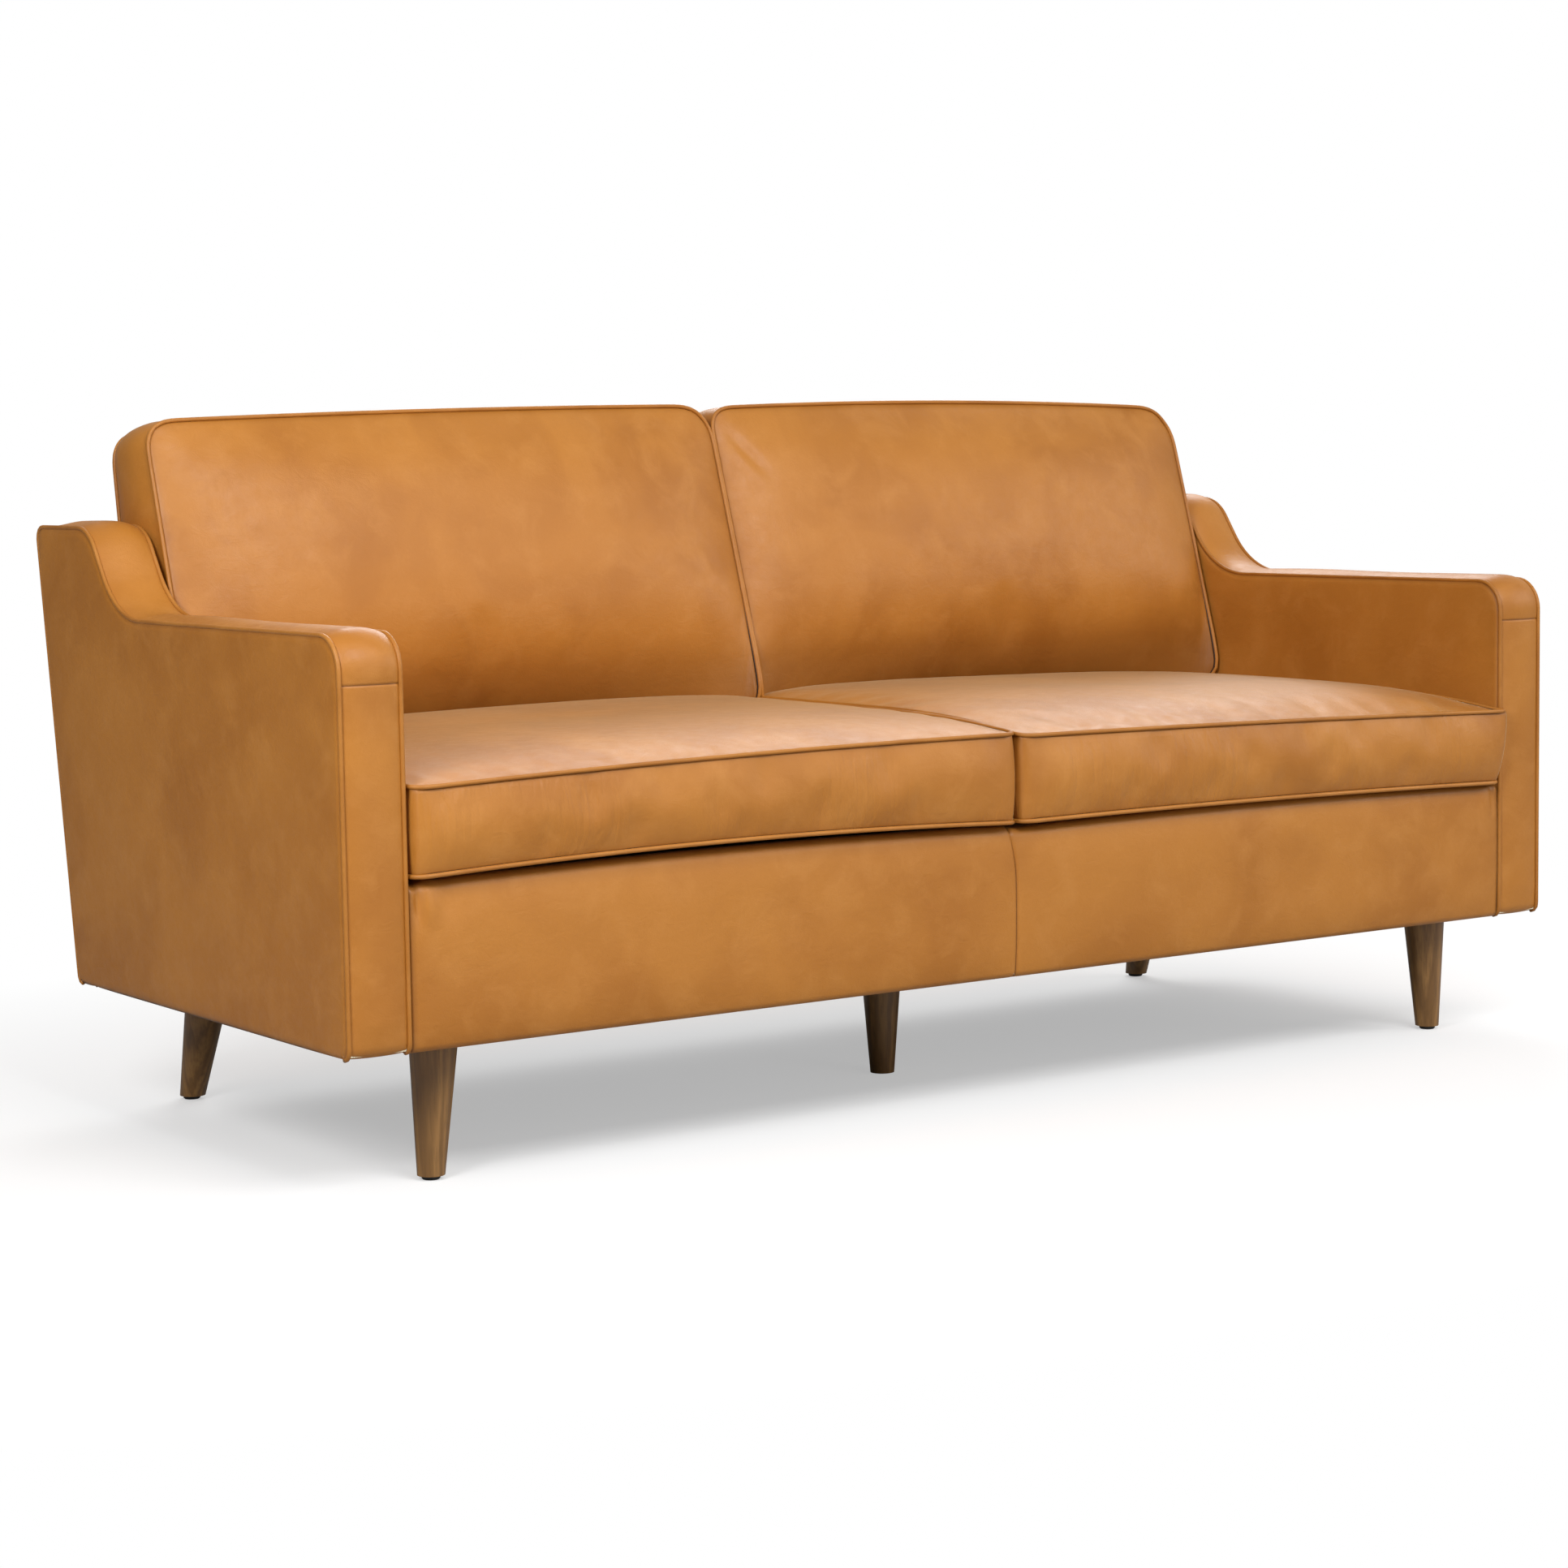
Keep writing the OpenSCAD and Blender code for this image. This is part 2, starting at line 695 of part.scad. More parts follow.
for (which = ["left", "right"]) {
    part(str(which, "_arm_panels")) side(which) arm_panels();
    part(str(which, "_arm_blocking")) side(which) arm_blocking();
    part(str(which, "_arm_padding")) side(which) arm_padding();
    part(str(which, "_arm_outer_cover")) side(which) arm_outer_cover();
    part(str(which, "_arm_inner_cover")) side(which) arm_inner_cover();
    part(str(which, "_arm_boxing")) side(which) arm_boxing();
    part(str(which, "_arm_welts")) side(which) arm_welts();
    part(str(which, "_seat_core")) side(which) seat_core();
    part(str(which, "_seat_cover")) side(which) seat_cover();
    part(str(which, "_seat_welts")) side(which) seat_welts();
    part(str(which, "_seat_zip")) side(which) seat_zip();
    part(str(which, "_seat_zip_pull")) side(which) seat_zip_pull();
    part(str(which, "_back_core")) side(which) rest_core();
    part(str(which, "_back_cover")) side(which) rest_cover();
    part(str(which, "_back_welts")) side(which) rest_welts();
    part(str(which, "_back_zip")) side(which) rest_zip();
    part(str(which, "_back_zip_pull")) side(which) rest_zip_pull();
}
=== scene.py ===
"""The looks of the two-seat leather sofa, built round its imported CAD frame.

Metres, with +Y to the rear and +Z up. Shapes are made for the right half and mirrored for the left.
A cushion's inner end is at the sofa's middle, and its outer end at the arm.
"""
import json
import math

import bmesh
import bpy
import numpy as np
from mathutils import Matrix, Vector


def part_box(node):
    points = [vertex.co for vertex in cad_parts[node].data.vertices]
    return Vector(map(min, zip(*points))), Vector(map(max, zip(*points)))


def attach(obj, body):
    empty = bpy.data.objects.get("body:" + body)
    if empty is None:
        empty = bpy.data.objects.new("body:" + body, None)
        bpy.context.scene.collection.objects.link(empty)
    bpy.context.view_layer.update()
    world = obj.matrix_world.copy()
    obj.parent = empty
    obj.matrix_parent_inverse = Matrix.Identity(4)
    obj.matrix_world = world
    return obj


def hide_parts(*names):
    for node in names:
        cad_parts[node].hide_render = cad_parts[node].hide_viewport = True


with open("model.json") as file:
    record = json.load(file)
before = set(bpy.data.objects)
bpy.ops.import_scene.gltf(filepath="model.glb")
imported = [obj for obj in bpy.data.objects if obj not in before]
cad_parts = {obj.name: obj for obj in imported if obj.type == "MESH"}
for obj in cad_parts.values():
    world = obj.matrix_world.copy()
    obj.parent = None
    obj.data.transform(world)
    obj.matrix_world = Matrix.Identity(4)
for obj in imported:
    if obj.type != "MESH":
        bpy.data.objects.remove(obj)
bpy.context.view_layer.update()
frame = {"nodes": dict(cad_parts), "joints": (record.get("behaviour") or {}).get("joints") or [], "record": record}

# ------ places, from the frame
arm_low, arm_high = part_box("right_arm_outer_cover")
ARM_OUT = arm_high.x
ARM_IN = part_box("right_arm_inner_cover")[0].x
# The arms' front, their underside, and the height that they and the back share at the rear
FRONT = arm_low.y
Z0 = arm_low.z
BACK_H = arm_high.z
LEAN_AXIS = next(j["axis"] for j in frame["joints"] if j["name"] == "right_back_cushion_lift_off")
LEAN = math.atan2(LEAN_AXIS[1], LEAN_AXIS[2])
# Thickness of the leather
SKIN = 0.002
# Where the leaning rear plane meets the height Z0
BASE_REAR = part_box("outside_back_cover")[0].y + SKIN / math.cos(LEAN)
DECK_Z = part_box("deck_cover")[1].z

# The arm's outline, as the CAD has it: a level top that rises to the back in two curves
ARM_TOP = 0.636
FRONT_R = 0.040
RISE_START = 0.526
RISE_LOW_R = 0.130
RISE_HIGH_R = 0.060
RISE_SLOPE = math.radians(55)
REAR_R = 0.014
FOOT_R = 0.010

# Radius of the welts, and the planes in which the arm's side panels are sewn to them
PIPE_R = 0.0028
SEWN_OUT = ARM_OUT - 0.0016
SEWN_IN = ARM_IN + 0.0016


def rear_y(z):
    """The Y of the leaning rear plane at a height."""
    return BASE_REAR + (z - Z0) * math.tan(LEAN)


def on_back(x, t, s):
    """A point t in front of the rear plane and s up it, as X, Y, Z."""
    c, n = math.cos(LEAN), math.sin(LEAN)
    return np.stack(np.broadcast_arrays(x, BASE_REAR - t * c + s * n, Z0 + t * n + s * c), -1)


# ------ curves and noise
def arc(centre, r, a0, a1, n=14):
    """Points along a circular arc, angles in degrees."""
    a = np.radians(np.linspace(a0, a1, n))
    return np.stack([centre[0] + r * np.cos(a), centre[1] + r * np.sin(a)], -1)


def resample(points, step, count=None):
    """The same path with its points evenly spaced."""
    points = np.asarray(points, float)
    length = np.concatenate([[0], np.cumsum(np.linalg.norm(np.diff(points, axis=0), axis=1))])
    n = count or max(2, int(round(length[-1] / step)) + 1)
    at = np.linspace(0, length[-1], n)
    return np.stack([np.interp(at, length, points[:, k]) for k in range(points.shape[1])], -1)


def graded(n, edge=0.35):
    """n + 1 values from -1 to 1, closer together at both ends."""
    t = np.linspace(-1, 1, n + 1)
    return (1 - edge) * t + edge * np.sin(t * math.pi / 2)


def unit(x):
    """x kept within 0 to 1."""
    return np.clip(x, 0, 1)


def bell(x, width):
    """1 where x is 0, falling smoothly to 0 a few widths away."""
    return np.exp(-(x / width) ** 2)


def rising(x, reach):
    """0 where x is 0, rising smoothly to 1 a few reaches away."""
    return 1 - np.exp(-x / reach)


def soft_noise(p, seed):
    """Smooth noise in about -1 to 1, from a few sine waves. Points p scaled up give finer noise."""
    waves = 9
    rng = np.random.default_rng(seed)
    total = np.zeros(p.shape[:-1])
    for _ in range(waves):
        k = rng.normal(size=3)
        total += np.sin(p @ k * 2.2 + rng.uniform(0, 2 * math.pi))
    return total / math.sqrt(waves) / 1.4


# ------ mesh building
class Build:
    """Collects grids and tubes into one mesh with a darkness value on each vertex, for dark seam lines and painted
    shade.
    """

    def __init__(self):
        self.verts, self.faces, self.slots, self.seam_and_shade_values = [], [], [], []

    def add(self, verts, faces, seam_and_shade=0.0, material=0):
        base = len(self.verts)
        self.verts += [tuple(v) for v in verts]
        self.seam_and_shade_values += list(np.broadcast_to(seam_and_shade, (len(verts),)))
        self.faces += [tuple(base + i for i in f) for f in faces]
        self.slots += [material] * len(faces)

    def grid(self, p, seam_and_shade=0.0, flip=False, material=0, wrap=False):
        """A sheet through p, rows by columns by 3. flip turns it over; wrap closes it into a ring."""
        nu, nv = p.shape[:2]
        faces = []
        for i in range(nu if wrap else nu - 1):
            k = (i + 1) % nu
            for j in range(nv - 1):
                f = (i * nv + j, k * nv + j, k * nv + j + 1, i * nv + j + 1)
                faces.append(f[::-1] if flip else f)
        self.add(p.reshape(-1, 3), faces, np.broadcast_to(seam_and_shade, p.shape[:2]).reshape(-1), material)

    def tube(self, path, r, sides=10, closed=False, seam_and_shade=0.0, material=0):
        """A round tube along a 3-D path."""
        path = np.asarray(path, float)
        ahead = np.roll(path, -1, 0) - np.roll(path, 1, 0)
        if not closed:
            ahead[0], ahead[-1] = path[1] - path[0], path[-1] - path[-2]
        ahead /= np.linalg.norm(ahead, axis=1)[:, None]
        side = np.empty_like(path)
        start = np.array((1.0, 0.0, 0.0))
        if abs(start @ ahead[0]) > 0.9:
            start = np.array((0.0, 0.0, 1.0))
        for i, t in enumerate(ahead):
            start = start - t * (start @ t)
            start = start / np.linalg.norm(start)
            side[i] = start
        other = np.cross(ahead, side)
        a = np.linspace(0, 2 * math.pi, sides, endpoint=False)
        ring = (path[:, None] + r * np.cos(a)[None, :, None] * side[:, None]
                + r * np.sin(a)[None, :, None] * other[:, None])
        n = len(path)
        faces = []
        for i in range(n if closed else n - 1):
            k = (i + 1) % n
            for j in range(sides):
                m = (j + 1) % sides
                faces.append((i * sides + j, i * sides + m, k * sides + m, k * sides + j))
        if not closed:
            faces.append(tuple(range(sides))[::-1])
            faces.append(tuple((n - 1) * sides + j for j in range(sides)))
        self.add(ring.reshape(-1, 3), faces, seam_and_shade, material)

    def make(self, name, materials, body, replaces=(), thick=0.0, mirror=False, weld=1e-5):
        """The collected mesh as an object that rides on body and stands for CAD nodes."""
        verts = np.array(self.verts)
        if mirror:
            verts = verts * (-1, 1, 1)
        mesh = bpy.data.meshes.new(name)
        mesh.from_pydata(verts.tolist(), [], [f[::-1] if mirror else f for f in self.faces])
        mesh.polygons.foreach_set("material_index", self.slots)
        mesh.polygons.foreach_set("use_smooth", [True] * len(self.faces))
        write_seam_and_shade(mesh, np.array(self.seam_and_shade_values))
        for m in materials:
            mesh.materials.append(m)
        obj = new_object(name, mesh)
        if weld:
            merge(obj, weld)
        if thick:
            shell = obj.modifiers.new("thickness", "SOLIDIFY")
            shell.thickness = thick
            shell.offset = -1
        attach(obj, body)
        if replaces:
            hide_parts(*replaces)
        return obj


def new_object(name, data):
    """An object that holds data, linked into the scene."""
    obj = bpy.data.objects.new(name, data)
    bpy.context.collection.objects.link(obj)
    return obj


def write_seam_and_shade(mesh, value):
    """How dark each vertex is painted, from 0 to 1: a dark line near seams, and painted shade in creases, gaps and
    undercuts; the leather is darker there.
    """
    seam_and_shade = mesh.attributes.new("seam_and_shade", "FLOAT", "POINT")
    seam_and_shade.data.foreach_set("value", value.astype(np.float32))


def merge(obj, distance):
    """Joins vertices that are closer together than distance."""
    bm = bmesh.new()
    bm.from_mesh(obj.data)
    bmesh.ops.remove_doubles(bm, verts=bm.verts, dist=distance)
    bm.to_mesh(obj.data)
    bm.free()


# ------ materials
class Nodes:
    """Short calls for building the node tree of a material, or of the world."""

    def __init__(self, name, world=None):
        self.material = world or bpy.data.materials.new(name)
        self.material.use_nodes = True
        self.tree = self.material.node_tree
        self.shader = self.tree.nodes["Background" if world else "Principled BSDF"]

    def node(self, kind, inputs=None, **settings):
        n = self.tree.nodes.new("ShaderNode" + kind)
        for key, value in settings.items():
            setattr(n, key, value)
        for key, value in (inputs or {}).items():
            self.put(n.inputs[key], value)
        return n

    def put(self, socket, value):
        if isinstance(value, bpy.types.NodeSocket):
            self.tree.links.new(value, socket)
        else:
            socket.default_value = value

    def place(self, scale=(1, 1, 1), turn=(0, 0, 0)):
        """The object's own coordinates in metres, scaled and turned."""
        where = self.node("TexCoord").outputs["Object"]
        return self.node("Mapping", {"Vector": where, "Scale": scale, "Rotation": turn}).outputs[0]

    def noise(self, where, scale, detail=4.0, rough=0.55, distortion=0.0):
        return self.node("TexNoise", {"Vector": where, "Scale": scale, "Detail": detail,
                                      "Roughness": rough, "Distortion": distortion}).outputs["Fac"]

    def remap(self, value, low, high, to_low=0.0, to_high=1.0):
        return self.node("MapRange", {"Value": value, "From Min": low, "From Max": high,
                                      "To Min": to_low, "To Max": to_high}).outputs[0]

    def mix(self, factor, a, b, blend="MIX"):
        n = self.node("Mix", data_type="RGBA", blend_type=blend)
        self.put(n.inputs["Factor"], factor)
        self.put(n.inputs[6], a)
        self.put(n.inputs[7], b)
        return n.outputs[2]

    def math(self, operation, a, b=0.0):
        n = self.node("Math", operation=operation)
        self.put(n.inputs[0], a)
        self.put(n.inputs[1], b)
        return n.outputs[0]

    def bump(self, height, distance, strength=1.0, under=None):
        n = self.node("Bump", {"Height": height, "Distance": distance, "Strength": strength})
        if under is not None:
            self.put(n.inputs["Normal"], under)
        return n.outputs[0]

    def shade(self, **inputs):
        for key, value in inputs.items():
            self.put(self.shader.inputs[key.replace("_", " ")], value)
        return self.material


def rgb(r, g, b):
    return (r, g, b, 1.0)


# The leather's dye: most of it, its deeper clouds and its paler patches; last, the dark brown of its seam lines,
# also used as painted shade
TAN = (0.458, 0.178, 0.026)
TAN_DEEP = (0.380, 0.138, 0.017)
TAN_PALE = (0.520, 0.220, 0.046)
TAN_SEAM_AND_SHADE = (0.10, 0.032, 0.006)


def leather(name, tone=1.0, seed=0.0, sheen=0.06, boxing_top=None):
    """Smooth leather: cloudy dye, fine pebble grain, faint stretch lines, darker at its seam lines and where shade
    is painted in.
    Below the height boxing_top it also has faint upright creases."""
    n = Nodes(name)
    mid, deep, pale, dark = [rgb(*[k * tone for k in dye])
                             for dye in (TAN, TAN_DEEP, TAN_PALE, TAN_SEAM_AND_SHADE)]
    where = n.place(turn=(0.3, 0.2, seed))
    cloud = n.noise(where, 4.5 + seed, 3.0, 0.5, 0.6)
    patch = n.noise(where, 17.0, 5.0, 0.6, 0.4)
    speck = n.noise(where, 240.0, 3.0, 0.6)
    colour = n.mix(n.remap(cloud, 0.36, 0.60), deep, mid)
    colour = n.mix(n.remap(patch, 0.48, 0.78, 0.0, 0.60), colour, pale)
    colour = n.mix(n.remap(speck, 0.35, 0.75, 0.0, 0.16), colour, deep)
    seam_and_shade = n.node("Attribute", attribute_name="seam_and_shade").outputs["Fac"]
    # Dark seam lines and painted shade: the dye darkens towards dark brown as the vertex value rises
    colour = n.mix(seam_and_shade, colour, dark)
    pebble = n.node("TexVoronoi", {"Vector": n.place(), "Scale": 820.0, "Randomness": 1.0},
                    feature="SMOOTH_F1").outputs["Distance"]
    pores = n.noise(n.place(), 1500.0, 2.0, 0.5)
    stretch = n.noise(n.place(scale=(1.0, 1.0, 1.6), turn=(0.5, 0.4, 0.8)), 38.0, 6.0, 0.62, 0.8)
    normal = n.bump(stretch, 0.0011, 0.55)
    if boxing_top:
        creases = n.noise(n.place(scale=(1.0, 1.0, 0.10)), 75.0, 2.0, 0.5, 0.5)
        here = n.node("SeparateXYZ", {"Vector": n.place()}).outputs[2]
        level = n.remap(here, boxing_top - 0.012, boxing_top, 1.0, 0.0)
        some = n.remap(n.noise(n.place(), 5.0, 1.0), 0.42, 0.60)
        height = n.math("MULTIPLY", creases, n.math("MULTIPLY", level, some))
        normal = n.bump(height, 0.0060, 0.5, normal)
    normal = n.bump(pebble, 0.00016, 0.5, normal)
    normal = n.bump(pores, 0.00008, 0.4, normal)
    rough = n.remap(n.noise(where, 60.0, 5.0, 0.6), 0.3, 0.75, 0.40, 0.52)
    return n.shade(Base_Color=colour, Roughness=rough, Normal=normal, Specular_IOR_Level=0.36,
                   Sheen_Weight=sheen, Sheen_Roughness=0.22, Sheen_Tint=rgb(0.95, 0.87, 0.60))


def timber(name, light, dark, rough=(0.38, 0.52), along=(1, 1, 0.06)):
    """Wood with its grain along the axis that `along` shortens."""
    n = Nodes(name)
    where = n.place(scale=along)
    warp = n.noise(where, 9.0, 3.0, 0.5)
    bands = n.node("TexWave", {"Vector": where, "Scale": 46.0, "Distortion": 6.0, "Detail": 3.0,
                               "Detail Scale": 1.4, "Phase Offset": 1.3},
                   bands_direction="DIAGONAL").outputs["Fac"]
    fibre = n.noise(n.place(scale=(along[0], along[1], along[2] * 0.35)), 420.0, 4.0, 0.6)
    colour = n.mix(n.remap(bands, 0.1, 0.95), rgb(*dark), rgb(*light))
    colour = n.mix(n.remap(fibre, 0.45, 0.72, 0.0, 0.55), colour, rgb(*[c * 0.45 for c in dark]))
    colour = n.mix(n.remap(warp, 0.3, 0.7, 0.0, 0.35), colour, rgb(*[c * 0.8 for c in light]))
    normal = n.bump(fibre, 0.00012, 0.6)
    return n.shade(Base_Color=colour, Roughness=n.remap(bands, 0, 1, *rough), Normal=normal,
                   Coat_Weight=0.15, Coat_Roughness=0.25)


def cloth(name, colour, weave):
    """Plain woven or felted fabric, with weave threads to the metre."""
    n = Nodes(name)
    a, b, c = [n.node("TexWave", {"Vector": n.place(), "Scale": weave, "Distortion": 1.0},
                      bands_direction=axis).outputs["Fac"] for axis in "XYZ"]
    thread = n.math("MAXIMUM", n.math("MAXIMUM", a, b), c)
    cloud = n.noise(n.place(), 30.0, 4.0)
    shade = n.mix(n.remap(thread, 0.2, 1.0), rgb(*[k * 0.55 for k in colour]), rgb(*colour))
    shade = n.mix(n.remap(cloud, 0.3, 0.7, 0, 0.4), shade, rgb(*[k * 0.75 for k in colour]))
    return n.shade(Base_Color=shade, Roughness=0.92, Normal=n.bump(thread, 0.0003, 0.6),
                   Sheen_Weight=0.1)


def foam(name):
    """Yellowish open-celled foam."""
    n = Nodes(name)
    cell = n.node("TexVoronoi", {"Vector": n.place(), "Scale": 700.0}).outputs["Distance"]
    colour = n.mix(n.remap(cell, 0.0, 0.8), rgb(0.58, 0.50, 0.32), rgb(0.84, 0.77, 0.58))
    return n.shade(Base_Color=colour, Roughness=0.95, Normal=n.bump(cell, 0.0008, 0.7))


def metal(name, colour, rough):
    """Plain metal with slightly uneven gloss."""
    n = Nodes(name)
    wear = n.noise(n.place(), 120.0, 6.0, 0.65)
    shade = n.mix(n.remap(wear, 0.35, 0.7), rgb(*[k * 0.7 for k in colour]), rgb(*colour))
    return n.shade(Base_Color=shade, Roughness=n.remap(wear, 0.3, 0.7, rough - 0.08, rough + 0.12),
                   Metallic=1.0, Normal=n.bump(wear, 0.0001, 0.4))


def moulded(name, colour):
    """Moulded plastic, half matte."""
    n = Nodes(name)
    fine = n.noise(n.place(), 700.0, 3.0)
    shade = n.mix(n.remap(fine, 0.4, 0.7), rgb(*colour), rgb(*[k * 1.6 + 0.004 for k in colour]))
    return n.shade(Base_Color=shade, Roughness=n.remap(fine, 0.3, 0.7, 0.42, 0.6),
                   Normal=n.bump(fine, 0.0001, 0.5))


LEATHER = leather("leather_main")
LEATHER_SEAT = leather("leather_seat", seed=0.7, sheen=0.6, boxing_top=0.470)
LEATHER_BACK = leather("leather_back", seed=1.4)
PIPING = leather("leather_piping", tone=0.93, seed=2.1)
# Painted shade: leather darkened to about a quarter, on the thin cord that stands for the shadow in the crease a
# welt sits in
CREASE_SHADE = leather("leather_crease_shade", tone=0.26, seed=0.3)
LEG_WOOD = timber("walnut_stained_wood", (0.300, 0.150, 0.042), (0.175, 0.082, 0.021))
FRAME_WOOD = timber("frame_timber", (0.66, 0.47, 0.27), (0.50, 0.33, 0.17),
                    along=(0.06, 1, 1), rough=(0.6, 0.75))
FOAM = foam("foam")
WEBBING = cloth("webbing", (0.03, 0.03, 0.032), 520.0)
DUST_CLOTH = cloth("dust_cloth", (0.02, 0.02, 0.021), 700.0)
DECK_CLOTH = cloth("deck_cloth", (0.24, 0.13, 0.06), 600.0)
ZIP_TAPE = cloth("zip_tape", (0.075, 0.038, 0.018), 900.0)
SPRING_STEEL = metal("spring_steel", (0.30, 0.30, 0.31), 0.45)
ZINC = metal("zinc_steel", (0.62, 0.62, 0.60), 0.35)
BRASS = metal("zip_brass", (0.55, 0.40, 0.18), 0.3)
GLIDE = moulded("glide_plastic", (0.012, 0.011, 0.010))

OF_SLOT = {
    "leather": LEATHER, "leather_piping": PIPING, "leg_wood": LEG_WOOD, "frame_timber": FRAME_WOOD,
    "foam": FOAM, "webbing": WEBBING, "dust_cloth": DUST_CLOTH, "deck_cloth": DECK_CLOTH,
    "zip_tape": ZIP_TAPE, "spring_steel": SPRING_STEEL, "zinc_steel": ZINC, "zip_brass": BRASS,
    "glide_plastic": GLIDE,
}
for part in frame["record"]["subparts"]:
    cad = frame["nodes"][part["node"]]
    cad.data.materials.clear()
    cad.data.materials.append(OF_SLOT[part["material_slot"]])


# ------ the arms
def arm_edge():
    """The arm's edge as Y, Z points, from its front foot over the top and down to its rear foot."""
    rise = BACK_H - ARM_TOP - (RISE_LOW_R + RISE_HIGH_R) * (1 - math.cos(RISE_SLOPE))
    run = (RISE_LOW_R + RISE_HIGH_R) * math.sin(RISE_SLOPE) + rise / math.tan(RISE_SLOPE)
    slope = math.degrees(RISE_SLOPE)
    rear_z = BACK_H - REAR_R
    rear_c = (rear_y(rear_z) - REAR_R / math.cos(LEAN), rear_z)
    foot_z = Z0 + FOOT_R
    foot_c = (rear_y(foot_z) - FOOT_R / math.cos(LEAN), foot_z)
    lean = math.degrees(LEAN)
    return np.concatenate([
        arc((FRONT + FOOT_R, foot_z), FOOT_R, 270, 180, 6),
        arc((FRONT + FRONT_R, ARM_TOP - FRONT_R), FRONT_R, 180, 90),
        arc((FRONT + RISE_START, ARM_TOP + RISE_LOW_R), RISE_LOW_R, 270, 270 + slope),
        arc((FRONT + RISE_START + run, BACK_H - RISE_HIGH_R), RISE_HIGH_R, 90 + slope, 90),
        arc(rear_c, REAR_R, 90, -lean, 8),
        arc(foot_c, FOOT_R, -lean, -90, 6),
    ])


def edge_normals(path):
    """Outward unit normals of a path that runs clockwise round its shape, seen from +X."""
    t = np.gradient(path, axis=0)
    t /= np.linalg.norm(t, axis=1)[:, None]
    return np.stack([-t[:, 1], t[:, 0]], -1)


def distance_to(points, path):
    """Each 2-D point's distance to a 2-D path."""
    a, b = path[:-1], path[1:]
    ab = b - a
    best = np.full(len(points), 1e9)
    for p0, d in zip(a, ab):
        t = unit(((points - p0) @ d) / max(d @ d, 1e-18))
        best = np.minimum(best, np.linalg.norm(points - p0 - t[:, None] * d, axis=1))
    return best


EDGE = resample(arm_edge(), 0.006)
EDGE_N = edge_normals(EDGE)
REAR_TOP = int(np.argmax(EDGE[:, 1] + EDGE[:, 0] * 0.5))


def arm_side(side, inner):
    """The flat side panel of an arm, a little pillowed, dipping to its welts."""
    columns, rows = 150, 46
    pillow, dip = 0.0018, 0.0022
    top = resample(EDGE, 0, columns)
    share = (top[:, 0] - top[:, 0].min()) / (top[:, 0].max() - top[:, 0].min())
    share = 0.5 * share + 0.5 * np.linspace(0, 1, columns)
    foot = np.stack([EDGE[0, 0] + share * (EDGE[-1, 0] - EDGE[0, 0]), np.full(columns, Z0)], -1)
    rise = (graded(rows, 0.8) + 1) / 2
    flat = foot[:, None] * (1 - rise)[None, :, None] + top[:, None] * rise[None, :, None]
    closed = np.concatenate([EDGE, EDGE[:1]])
    d = distance_to(flat.reshape(-1, 2), closed).reshape(flat.shape[:2])
    lift = pillow * rising(d, 0.030) - dip * bell(d, 0.0032)
    p = np.concatenate([np.zeros(flat.shape[:2] + (1,)), flat], -1)
    lift = lift + 0.0007 * soft_noise(p * 7, 11 + inner) * rising(d, 0.05)
    p[..., 0] = (SEWN_IN - lift) if inner else (SEWN_OUT + lift)
    build = Build()
    # Darker along the welts: a dark seam line, with painted shade of the dip beside it
    build.grid(p, seam_and_shade=0.85 * bell(d, 0.0022), flip=not inner)
    kind = "inner" if inner else "outer"
    return build.make(f"{side}_arm_{kind}_panel", [LEATHER], "sofa_frame",
                      [f"{side}_arm_{kind}_cover"], thick=SKIN, mirror=side == "left")


